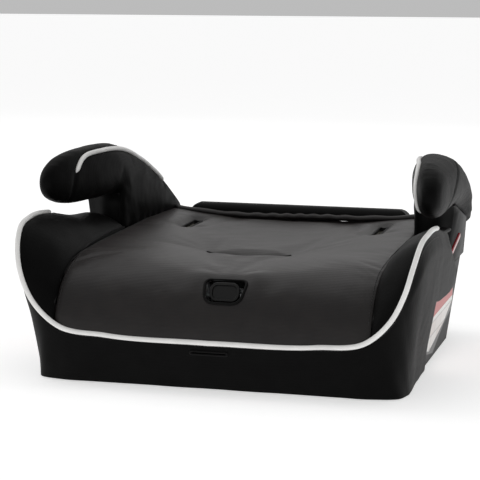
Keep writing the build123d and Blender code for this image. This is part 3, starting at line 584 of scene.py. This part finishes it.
def drop_on(points, skin, direction, height=0.0, reach=60):
    """Points moved along a direction on to a skin, and lifted off it by a height in mm."""
    landed = []
    for p in points:
        start = Vector(p) + direction * reach
        spot, normal, _, _ = skin.ray_cast(start, -direction)
        spot, normal = (Vector(p), direction) if spot is None else (spot, normal)
        landed.append(spot + (normal if normal.dot(direction) > 0 else -normal) * height)
    return np.array(landed)


TIP_SCALES = (0.05, 0.6, 0.92)  # the first rings of a rod, which dome its ends


def tube(name, path, radius, finish, closed=False, sides=14, flat=1.0, normal=None):
    """A round or flattened tube along a path, in mm: a closed ring, or a rod with domed ends."""
    path = np.asarray(path, float)
    if closed:
        tangent = np.roll(path, -1, 0) - np.roll(path, 1, 0)
    else:
        tangent = np.gradient(path, axis=0)
    tangent /= np.linalg.norm(tangent, axis=1, keepdims=True)
    across = np.cross(tangent, normal if normal is not None else (0.1, 0.2, 1))
    across /= np.linalg.norm(across, axis=1, keepdims=True)
    rise = np.cross(across, tangent)
    size = np.ones(len(path)) * radius
    if not closed:
        for step, scale in enumerate(TIP_SCALES):
            size[step] *= scale
            size[-1 - step] *= scale
    angle = np.linspace(0, 2 * pi, sides, endpoint=False)
    rings = (path[:, None] + size[:, None, None] * (np.cos(angle)[None, :, None] * across[:, None]
                                                    + flat * np.sin(angle)[None, :, None] * rise[:, None]))
    rows = len(path)
    faces = grid_faces(rows, sides, wrap=True)
    if closed:
        last = (rows - 1) * sides
        faces += [(last + j, last + (j + 1) % sides, (j + 1) % sides, j) for j in range(sides)]
    else:
        faces += [tuple(range(sides)), tuple((rows - 1) * sides + j for j in reversed(range(sides)))]
    return outward_faces(new_piece(name, rings.reshape(-1, 3), faces, finish))


def finished(piece, slot, *nodes):
    """Rides on the seat and stands for its CAD nodes, which it hides; slot is not used."""
    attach(piece, "seat")
    if nodes:
        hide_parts(*nodes)
    return piece


# %% Cover and foam of the seat
FABRIC = 2.6
FOAM_TOP, FOAM_DEPTH = 3.2, 14.5
CUT_DOWN, CUT_UP = 30, 14
cuts = cutter("slot cutter", [prism(loop, way, CUT_DOWN, CUT_UP) for loop, way in OPENINGS.values()])
cover = thicken(new_piece("seat_panel", seat.reshape(-1, 3), top_faces, seat_knit), FABRIC)
cut_out(cover, cuts)
finished(cover, "seat_fabric", "seat_cover")

normal = normals_of(seat)
inner = seat - normal * FOAM_TOP
floor_side = inner - normal * FOAM_DEPTH
foam_points = np.concatenate([inner.reshape(-1, 3), floor_side.reshape(-1, 3)])
cushion = new_piece("seat_cushion", foam_points, pad_faces, foam)
bpy.data.objects.remove(cuts)
well = flat_loop([(-25, -25), (25, -25), (25, 25), (-25, 25)], WELL_MIDDLE, (1, 0, 0), SLOPE_UP)
slots = [OPENINGS[name] for name in OPENINGS if "slot" in name]
rooms = [prism(loop, way, CUT_DOWN, CUT_UP) for loop, way in slots]
cuts = cutter("foam cutter", rooms + [prism(well, SLOPE_OUT, 60, 30)])
cut_out(cushion, cuts)
finished(cushion, "foam", "seat_foam")
bpy.data.objects.remove(cuts)
print("seat cover", len(cover.data.polygons), "faces")

# %% Rear hem, gathered by elastic
HEM_HALF, HEM_Y = 152, 184.2
along = np.linspace(-HEM_HALF, HEM_HALF, 260)
hem_row = int(np.argmin(np.abs(seat[:, columns // 2, 1] - 181)))
order = np.argsort(seat[hem_row, :, 0])
height = np.interp(along, seat[hem_row, order, 0], seat[hem_row, order, 2])
pucker = 0.6 * np.sin(along / 3.9 + 5 * np.sin(along / 37))
sway = 2.5 * np.sin((along + 60) / 55)
hem_z = height + 0.8 + sway * (1 - (along / HEM_HALF) ** 2) + 0.5 * pucker
roll = np.stack([along, np.full_like(along, HEM_Y), hem_z], axis=1)
hem = tube("rear_elastic_hem", roll, 3.6 + 0.5 * pucker, seat_knit, sides=16, flat=1.4, normal=(0, 1, 0))
finished(hem, "seat_fabric")

# %% Bindings round the openings
BINDINGS = {"crotch_slot_tape": (1.1, ["crotch_slot_binding"]),
            "hip_slot_tape_right": (1.4, ["hip_slot_binding_right"]),
            "hip_slot_tape_left": (1.4, ["hip_slot_binding_left"]),
            "adjuster_opening_tape": (1.5, ["adjuster_opening_binding"])}
for name, (radius, nodes) in BINDINGS.items():
    loop, way = OPENINGS[name]
    spread = loop.mean(axis=0) + (loop - loop.mean(axis=0)) * 1.04
    rim = drop_on(spread, seat_skin, way, 0.2)
    finished(tube(name, rim, radius, binding_tape, closed=True, normal=way), "binding", *nodes)

# %% [markdown]
# ## Wings, skirt and piping
# The side wings are padded panels between the seat's seam and the white piping. The skirt hangs from
# the piping down the front, turns each front corner at a crease and runs back along the side as a
# flap.

# %% Wing covers
PIPE_COUNT = 90
pipe_right = through(FRONT_PIPING, 160)
wing_piping = pipe_right[pipe_right[:, 0] >= 162]
edge = seat[:, np.argmax(seat[rows // 2, :, 0])]
edge = edge[(edge[:, 1] < 27) & (edge[:, 2] > 61)]
edge = edge[np.argsort(edge[:, 1] * 0.6 + edge[:, 2])]
pair = np.concatenate([through(edge[::4], PIPE_COUNT), through(wing_piping[::4], PIPE_COUNT)], axis=1)
WING_COLUMNS = 26
across = np.linspace(0, 1, WING_COLUMNS)[None, :, None]
wing = pair[:, None, :3] * (1 - across) + pair[:, None, 3:] * across
wing = facing_out(wing, (190, -90, 60))
t = np.linspace(0, 1, WING_COLUMNS)[None, :]
span = np.linalg.norm(pair[:, 3:] - pair[:, :3], axis=1)[:, None]
belly = np.sin(pi * t) ** 0.7 * np.minimum(6.5, span * 0.16)
wing = puffed(wing, belly + 0.8 * wrinkles(wing, 30, 21) * np.sin(pi * t))
wing_faces = grid_faces(PIPE_COUNT, WING_COLUMNS)
for side, grid in (("right", wing), ("left", mirrored(wing))):
    flip = facing_out(grid, (190 if side == "right" else -190, -90, 60))
    shape = new_piece("wing_pad_" + side, flip.reshape(-1, 3), wing_faces, side_knit)
    outward_faces(baked(thicken(shape, 4.0)))
    finished(shape, "side_fabric", "wing_cover_" + side)

# %% Skirt with its flaps
SKIRT_ROWS = 64
TOP_TO_HEM = [((0, -204.5, 51), (0, -184, 0)), ((60, -203.8, 51.5), (66, -184, 0)),
              ((110, -202.5, 53), (124, -184, 0)), ((150, -202.6, 57.5), (166, -183.5, 0)),
              ((171, -204, 69), (189, -175, 0)), ((184, -205.5, 82), (195, -157, 0)),
              ((198, -205, 110), (195.5, -141, 0)), ((204.5, -198, 135), (195, -127, 0)),
              ((208.5, -180, 155), (194, -108, 0)), ((211, -146, 162.5), (194, -84, 0)),
              ((211, -80, 160), (194, -40, 0))]
front = through([top + hem for top, hem in TOP_TO_HEM], 150)
FLAP_TOP = [(-80, 160), (-60, 156), (-30, 150), (0, 144), (20, 134), (42, 119), (67, 106), (95, 97),
            (118, 88)]
FLAP_HEM = [(-60, 80), (-35, 76), (0, 74), (51, 72), (90, 74), (110, 78), (119, 85)]
flap_top, flap_hem = through(FLAP_TOP, 60)[1:], through(FLAP_HEM, 60)[1:]


def on_side(line):
    """Points of the flap from their y and z, on the side's leaning plane."""
    return np.stack([194 + 17 * np.clip(line[:, 1] / 160, 0, 1), line[:, 0], line[:, 1]], axis=1)


down = np.linspace(0, 1, SKIRT_ROWS)[:, None, None]
front_grid = front[None, :, :3] * (1 - down) + front[None, :, 3:] * down
half = SKIRT_ROWS // 2
step = np.linspace(0, 1, half)[:, None, None]
flap_grid = on_side(flap_top)[None] * (1 - step) + on_side(flap_hem)[None] * step
filler = np.repeat(flap_grid[-1:], SKIRT_ROWS - half, axis=0)
skirt = np.concatenate([front_grid, np.concatenate([flap_grid, filler])], axis=1)
skirt_right = facing_out(skirt, (0, 0, 60))
starts_at_side = skirt_right[0, 0, 0] > 100
t = np.linspace(0, 1, SKIRT_ROWS)[:, None]
drape = 1.3 * np.sin(pi * t) + 0.8 * wrinkles(skirt_right, 55, 31) + 0.3 * wrinkles(skirt_right, 18, 33)
reach = np.abs(skirt_right[:, :, 0])
side_bulge = 5.5 * smooth_step(reach, 196, 206) * smooth_step(t * np.ones_like(reach), 0, 0.14)
drape = np.clip(drape, -1.2, 3) + side_bulge * (1 - smooth_step(skirt_right[:, :, 1], 60, 110))
drape[0] = 0
skirt_right = puffed(skirt_right, drape)
if starts_at_side:
    skirt_right = skirt_right[:, ::-1]
skirt_left = skirt_right[:, :0:-1] * np.array((-1, 1, 1))
skirt = np.concatenate([skirt_left, skirt_right], axis=1)
flaps = flap_grid.shape[1]
wide = skirt.shape[1]


def cloth_there(i, j):
    """The flaps have no lower half."""
    return i < half - 1 or flaps - 1 < j < wide - flaps


skirt = facing_out(skirt, (0, 0, 60))
skirt_faces = grid_faces(SKIRT_ROWS, wide, cloth_there)
skirt_mesh = new_piece("skirt_panel", skirt.reshape(-1, 3), skirt_faces, side_knit)
loose = bmesh.new()
loose.from_mesh(skirt_mesh.data)
bmesh.ops.delete(loose, geom=[v for v in loose.verts if not v.link_faces], context="VERTS")
loose.to_mesh(skirt_mesh.data)
loose.free()
thicken(skirt_mesh, 2.4)
slit = rounded_loop([(-19, -1.6), (19, -1.6), (19, 1.6), (-19, 1.6)], [1.5] * 4)
slit_loop = flat_loop(slit, Vector((0, -200.3, 41)), (1, 0, 0), (0, 0, 1))
knife = cutter("slit cutter", [prism(slit_loop, Vector((0, -1, 0)), 14, 10)])
cut_out(skirt_mesh, knife)
bpy.data.objects.remove(knife)
finished(skirt_mesh, "side_fabric", "front_skirt")
skirt_skin = BVHTree.FromPolygons([Vector(p) for p in skirt.reshape(-1, 3)], grid_faces(SKIRT_ROWS, wide))
slit_rim = drop_on(slit_loop, skirt_skin, Vector((0, -1, 0)), 0.2)
finished(tube("front_slit_tape", slit_rim, 1.2, binding_tape, closed=True, normal=(0, -1, 0)),
         "binding", "front_slit_binding")

# %% Front piping
PIPING_R = 2.6
half_pipe = through(FRONT_PIPING, 170)
half_pipe = half_pipe[(half_pipe[:, 1] < -84) | (half_pipe[:, 2] < 120)]
pipe_path = np.concatenate([mirrored(half_pipe[None])[0][:-1], half_pipe])
front_pipe = tube("front_piping_cord", pipe_path + np.array((0, -0.8, 1.0)), PIPING_R, piping_white, sides=18)
finished(front_pipe, "piping", "front_piping")

# %% [markdown]
# ## Armrests
# Each armrest is a hook: a plump horn reaching forward over the wing, on a column at the rear. The
# cover is sewn from an inner and an outer panel with piping on the ridge between them. It is blocked
# out as a loft, rounded by voxel remeshing, and blown up as cloth.

# %% Armrest blanks
# Sections of the right armrest: y, inner x, outer x, top z, bottom z.
SECTIONS = [(-117, 203, 209, 202, 192), (-113, 198.5, 213.5, 209, 185), (-104, 194.5, 216.5, 216, 178.5),
            (-92, 190.5, 218, 221, 174), (-72, 185.5, 218.5, 225.5, 170), (-40, 177.5, 219, 228, 168.5),
            (0, 170, 219, 228.5, 167.5), (30, 167, 219, 227, 167), (60, 165, 219, 220.5, 165),
            (100, 161, 218.5, 207, 159), (135, 156.5, 217, 190, 150), (165, 152.5, 214, 170, 138),
            (190, 149.5, 209, 151, 128), (204, 148.5, 203, 141, 125)]
POWER = 2.5  # 2 makes the sections ellipses, and more makes them squarer
RINGS, AROUND = 80, 44
APRON_STEPS = 30
APRON_Y = np.linspace(30, 203, APRON_STEPS)
APRON_FOOT = 125
APRON_NEAR, APRON_FAR = 0.5, 8


def section_ring(y, inner, outer, top, bottom, a, b):
    """One ring of the loft, a rounded box whose top slopes down to the outside."""
    middle, half_wide = (inner + outer) / 2, (outer - inner) / 2
    centre, half_high = (top + bottom) / 2, (top - bottom) / 2
    return [(middle + half_wide * u, y, centre + half_high * v - 3 * u * max(v, 0)) for u, v in zip(a, b)]


def armrest_blank():
    """The loft of the right horn and column top, with the inner apron joined to it."""
    around = np.linspace(0, 2 * pi, AROUND, endpoint=False)
    a = np.sign(np.cos(around)) * np.abs(np.cos(around)) ** (2 / POWER)
    b = np.sign(np.sin(around)) * np.abs(np.sin(around)) ** (2 / POWER)
    line = through(SECTIONS, RINGS)
    points = np.array([section_ring(*section, a, b) for section in line]).reshape(-1, 3)
    last = (RINGS - 1) * AROUND
    faces = grid_faces(RINGS, AROUND, wrap=True)
    faces += [tuple(range(AROUND)), tuple(last + j for j in reversed(range(AROUND)))]
    inner_x = np.interp(APRON_Y, line[:, 0], line[:, 1])
    tops = np.interp(APRON_Y, line[:, 0], (line[:, 3] + line[:, 4]) / 2)
    slab = []
    for y, inner, top in zip(APRON_Y, inner_x, tops):
        near, far = inner + APRON_NEAR, inner + APRON_FAR
        slab.append([(near, y, APRON_FOOT), (far, y, APRON_FOOT), (far, y, top), (near, y, top)])
    start = len(points)
    end = start + (APRON_STEPS - 1) * 4
    points = np.concatenate([points, np.array(slab).reshape(-1, 3)])
    faces += [tuple(start + i for i in face) for face in grid_faces(APRON_STEPS, 4, wrap=True)]
    faces += [tuple(start + i for i in (0, 1, 2, 3)), tuple(end + i for i in (3, 2, 1, 0))]
    return points, faces


points, faces = armrest_blank()
blank = new_piece("armrest_pad_right", points, faces, side_knit)
merge = blank.modifiers.new("merge", "REMESH")
merge.mode, merge.voxel_size = "VOXEL", 3.6 * MM
even = blank.modifiers.new("even", "SMOOTH")
even.factor, even.iterations = 0.6, 6
outward_faces(baked(blank))
points = np.array([v.co for v in blank.data.vertices]) / MM
at_foot, at_rear = points[:, 2] < 131, points[:, 1] > 196
stuff(blank, at_foot | at_rear, 4.0, 3.0)
print("armrest blank", len(blank.data.polygons), "faces")

# %% Seams pressed into the armrests
ARM_PIPING = [(156, 148, 172), (161, 118, 198), (167.5, 50, 223), (171, 0, 227), (179, -40, 224),
              (184, -60, 217), (188, -74, 203), (189, -77, 190), (194, -76, 176)]
NOSE_SEAM = [(205, 40, 230), (214, 22, 216), (218, 0, 206), (219, -25, 193), (217, -45, 180), (208, -55, 168)]


def pressed(points, normals, path, depth, width):
    """Pushes points near a path inwards."""
    line = np.asarray(path)
    gap = np.sqrt(((points[:, None] - line[None]) ** 2).sum(axis=2)).min(axis=1)
    return points - normals * (depth * np.exp(-((gap / width) ** 2)))[:, None]


fine = blank.modifiers.new("fine", "SUBSURF")
fine.levels = fine.render_levels = 1
baked(blank)
points = np.array([v.co for v in blank.data.vertices]) / MM
normals = np.array([v.normal for v in blank.data.vertices])
skin = BVHTree.FromPolygons([Vector(p) for p in points], [tuple(f.vertices) for f in blank.data.polygons])
ridge = np.array([skin.find_nearest(Vector(p))[0] for p in through(ARM_PIPING, 90)])
nose = np.array([skin.find_nearest(Vector(p))[0] for p in through(NOSE_SEAM, 50)])
points = pressed(points, normals, ridge, 1.2, 4.0)
points = pressed(points, normals, nose, 1.6, 2.6)
gather = np.sin(points[:, 1] / 3.1 + 2 * np.sin(points[:, 1] / 17)) * np.exp(-((points[:, 2] - 128) / 9) ** 2)
creases = 0.7 * wrinkles(points, 34, 41) + 0.25 * wrinkles(points, 13, 43)
points = points + normals * (0.8 * gather + creases)[:, None]
blank.data.vertices.foreach_set("co", (points * MM).ravel())
blank.data.update()
finished(blank, "side_fabric", "armrest_cover_right")
twin = bpy.data.objects.new("armrest_pad_left", blank.data.copy())
twin.data.transform(Matrix.Scale(-1, 4, (1, 0, 0)))
twin.data.flip_normals()
bpy.context.scene.collection.objects.link(twin)
finished(twin, "side_fabric", "armrest_cover_left")

# %% Armrest piping
skin = BVHTree.FromPolygons([Vector(p) for p in points], [tuple(f.vertices) for f in blank.data.polygons])
ROPE_LIFT = 1.3  # the cord's middle stands this far off the cover
for side, sign, last in (("right", 1, len(ARM_PIPING)), ("left", -1, len(ARM_PIPING) - 2)):
    ridge = through(ARM_PIPING[:last], 110)
    for _ in range(3):
        hits = [skin.find_nearest(Vector(p)) for p in ridge]
        ridge = np.array([spot + normal * ROPE_LIFT for spot, normal, _, _ in hits])
        for _ in range(8):
            ridge[1:-1] = (ridge[:-2] + 2 * ridge[1:-1] + ridge[2:]) / 4
    hits = [skin.find_nearest(Vector(p)) for p in ridge]
    lift = [max(ROPE_LIFT, (Vector(p) - hit[0]).dot(hit[1])) for p, hit in zip(ridge, hits)]
    ridge = np.array([hit[0] + hit[1] * height for hit, height in zip(hits, lift)])
    rope = tube("armrest_piping_cord_" + side, ridge * np.array((sign, 1, 1)), 2.5, piping_white, sides=18)
    finished(rope, "piping", "armrest_piping_" + side)

# %% [markdown]
# The column below each horn is bare plastic. Inside the pad, the moulding carries on as a rounded
# core, so the two shells are redrawn here: the CAD column up to the pad, joined to a core that
# follows the pad from inside.

# %% Armrest mouldings
COLUMN_SIDE = [(20, 60), (20, 171), (40, 169), (204, 131), (230, 125), (230, 60)]
normals = np.array([v.normal for v in blank.data.vertices])
CORE_INSET = 4.0
core_points = points - normals * CORE_INSET
core_faces = [tuple(f.vertices) for f in blank.data.polygons]
for side, sign in (("right", 1), ("left", -1)):
    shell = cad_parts["armrest_shell_" + side]
    moulding = bpy.data.objects.new("armrest_moulding_" + side, shell.data.copy())
    bpy.context.scene.collection.objects.link(moulding)
    loop = np.array([(sign * 180, y, z) for y, z in COLUMN_SIDE], float)
    knife = cutter("column", [prism(loop, Vector((sign, 0, 0)), 60, 60)])
    keep = moulding.modifiers.new("keep", "BOOLEAN")
    keep.object, keep.operation, keep.solver = knife, "INTERSECT", "EXACT"
    baked(moulding)
    bpy.data.objects.remove(knife)
    column = bmesh.new()
    column.from_mesh(moulding.data)
    added = [column.verts.new(tuple(p * MM * np.array((sign, 1, 1)))) for p in core_points]
    for face in core_faces:
        column.faces.new([added[i] for i in (face if sign > 0 else face[::-1])])
    column.to_mesh(moulding.data)
    column.free()
    moulding.data.materials.clear()
    moulding.data.materials.append(shell_plastic)
    moulding.data.shade_smooth()
    finished(moulding, "shell_plastic", "armrest_shell_" + side)
    print(moulding.name, len(moulding.data.polygons), "faces")

# %% [markdown]
# ## Stitches
# The seat's side seams and the skirt's top edge are topstitched. One node tree turns a path into a
# row of stitches: it spaces points along the path and lays a short rod of thread at each one.

# %% Stitch tree
thread, tree, surface = material("polyester thread, black", Roughness=0.45)
where = node(tree, "ShaderNodeTexCoord").outputs["Object"]
tree.links.new(mottled(tree, where, "#131212", "#1e1c1c", 400), surface.inputs["Base Color"])

rows_of_stitches = bpy.data.node_groups.new("row of stitches", "GeometryNodeTree")
sockets = rows_of_stitches.interface
sockets.new_socket("Path", in_out="INPUT", socket_type="NodeSocketGeometry")
for label, value in (("Spacing", 3.4 * MM), ("Length", 2.4 * MM), ("Radius", 0.4 * MM)):
    sockets.new_socket(label, in_out="INPUT", socket_type="NodeSocketFloat").default_value = value
sockets.new_socket("Thread", in_out="INPUT", socket_type="NodeSocketMaterial")
sockets.new_socket("Stitches", in_out="OUTPUT", socket_type="NodeSocketGeometry")
given = node(rows_of_stitches, "NodeGroupInput").outputs
curve = node(rows_of_stitches, "GeometryNodeMeshToCurve", {"Mesh": given["Path"]})
spaced = node(rows_of_stitches, "GeometryNodeResampleCurve",
              {"Curve": curve.outputs[0], "Length": given["Spacing"]}, mode="LENGTH")
tangent = node(rows_of_stitches, "GeometryNodeInputTangent")
along_path = node(rows_of_stitches, "FunctionNodeAlignRotationToVector",
                  {"Vector": tangent.outputs[0]}, axis="Z")
rod = node(rows_of_stitches, "GeometryNodeMeshCylinder",
           {"Vertices": 8, "Radius": given["Radius"], "Depth": given["Length"]})
laid = node(rows_of_stitches, "GeometryNodeInstanceOnPoints",
            {"Points": spaced.outputs[0], "Instance": rod.outputs[0], "Rotation": along_path.outputs[0]})
real = node(rows_of_stitches, "GeometryNodeRealizeInstances", {"Geometry": laid.outputs[0]})
dyed = node(rows_of_stitches, "GeometryNodeSetMaterial",
            {"Geometry": real.outputs[0], "Material": given["Thread"]})
node(rows_of_stitches, "NodeGroupOutput", {"Stitches": dyed.outputs[0]})


def stitched(name, path):
    """A row of stitches along a path in mm."""
    mesh = bpy.data.meshes.new(name)
    links = [(i, i + 1) for i in range(len(path) - 1)]
    mesh.from_pydata([tuple(p) for p in np.asarray(path) * MM], links, [])
    row = bpy.data.objects.new(name, mesh)
    bpy.context.scene.collection.objects.link(row)
    sew = row.modifiers.new("sew", "NODES")
    sew.node_group = rows_of_stitches
    for socket in sockets.items_tree:
        if socket.in_out == "INPUT" and socket.name == "Thread":
            sew[socket.identifier] = thread
    baked(row)
    print(name, len(row.data.polygons), "faces")
    return finished(row, "seat_fabric")


# %% Rows of stitches
lifted = puffed(seat, 0.1)
middle_row = seat[rows // 2, :, 0]
edge_columns = {"right": int(np.argmax(middle_row)), "left": int(np.argmin(middle_row))}
for side, column in edge_columns.items():
    inward = 4 if column == 0 else -4
    stitched("seam_stitches_" + side, lifted[8:-16, column + inward])
below = puffed(skirt, 0.1)[3, flaps + 4:wide - flaps - 4]
stitched("skirt_stitches", below)

# %% [markdown]
# ## Finishes on the hard parts
# The CAD parts keep their shape and get their real material.

# %% Label film
label_film, tree, surface = material("printed polypropylene film", Roughness=0.35)
where = node(tree, "ShaderNodeTexCoord").outputs["Object"]
split = node(tree, "ShaderNodeSeparateXYZ", {"Vector": where})
FRAME_WIDTH, BAND_FOOT = 3.0 * MM, 53 * MM
LABEL = [(-76, 74), (-40, 17), (33, 5), (94, 27), (151, 37), (118, 83), (60, 77)]
inset = None
for i, (y1, z1) in enumerate(LABEL):
    y2, z2 = LABEL[(i + 1) % len(LABEL)]
    run = Vector((y2 - y1, z2 - z1)).normalized()
    inward = (0, -run.y, run.x)
    reach = node(tree, "ShaderNodeVectorMath", {0: where, 1: inward}, operation="DOT_PRODUCT")
    edge_at = (y1 * inward[1] + z1 * inward[2]) * MM
    gap = calculated(tree, "SUBTRACT", reach.outputs["Value"], edge_at)
    inset = gap if inset is None else calculated(tree, "MINIMUM", inset, gap)
frame_line = calculated(tree, "LESS_THAN", inset, FRAME_WIDTH)
band = calculated(tree, "GREATER_THAN", split.outputs["Z"], BAND_FOOT)
lying = node(tree, "ShaderNodeMapping", {"Vector": where, "Rotation": (0, radians(90), radians(90))})
cells = node(tree, "ShaderNodeTexBrick",
             {"Vector": lying.outputs["Vector"], "Scale": 1 / (12 * MM), "Brick Width": 3.4,
              "Row Height": 1.3, "Mortar Size": 0.03, "Color1": linear("#e9e7e4"),
              "Color2": linear("#dcd2cd"), "Mortar": linear("#6d6865")})
banded = node(tree, "ShaderNodeMix", {0: band, 6: cells.outputs["Color"], 7: linear("#b8281f")},
              data_type="RGBA")
framed = node(tree, "ShaderNodeMix", {0: frame_line, 6: banded.outputs[2], 7: linear("#1b1a1a")},
              data_type="RGBA")
tree.links.new(framed.outputs[2], surface.inputs["Base Color"])

# %% Hard parts
FINISHES = {
    shell_plastic: ["base_shell", "armrest_shell_left", "armrest_shell_right", "rear_rail", "axle_caps"],
    button_plastic: ["adjuster_button"],
    guide_plastic: ["belt_guide_left", "belt_guide_right"],
    label_film: ["label_left", "label_right"],
    steel: ["armrest_screws_left", "armrest_screws_right", "backrest_axle", "rail_screws",
            "adjuster_frame", "adjuster_screws", "adjuster_pin", "adjuster_cam", "adjuster_spring"]}
for finish, names in FINISHES.items():
    for name in names:
        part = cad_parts[name]
        for slot in part.material_slots:
            slot.material = finish

# %% [markdown]
# ## Studio
# The floor is a plain pale sheet. The camera's clip distance, not its size, sets how far it is seen.

# %% Floor
paper, tree, surface = material("matt paper, white", Roughness=0.9, Specular_IOR_Level=0.1)
surface.inputs["Base Color"].default_value = linear("#f4f4f4")
surface.inputs["Emission Color"].default_value = (1, 1, 1, 1)
surface.inputs["Emission Strength"].default_value = 0.5
FLOOR_HALF, FLOOR_Z = 9e4, -0.4
corners = [(FLOOR_HALF * u, FLOOR_HALF * v, FLOOR_Z) for u, v in ((-1, -1), (1, -1), (1, 1), (-1, 1))]
floor = new_piece("studio_floor", corners, [(0, 1, 2, 3)], paper)
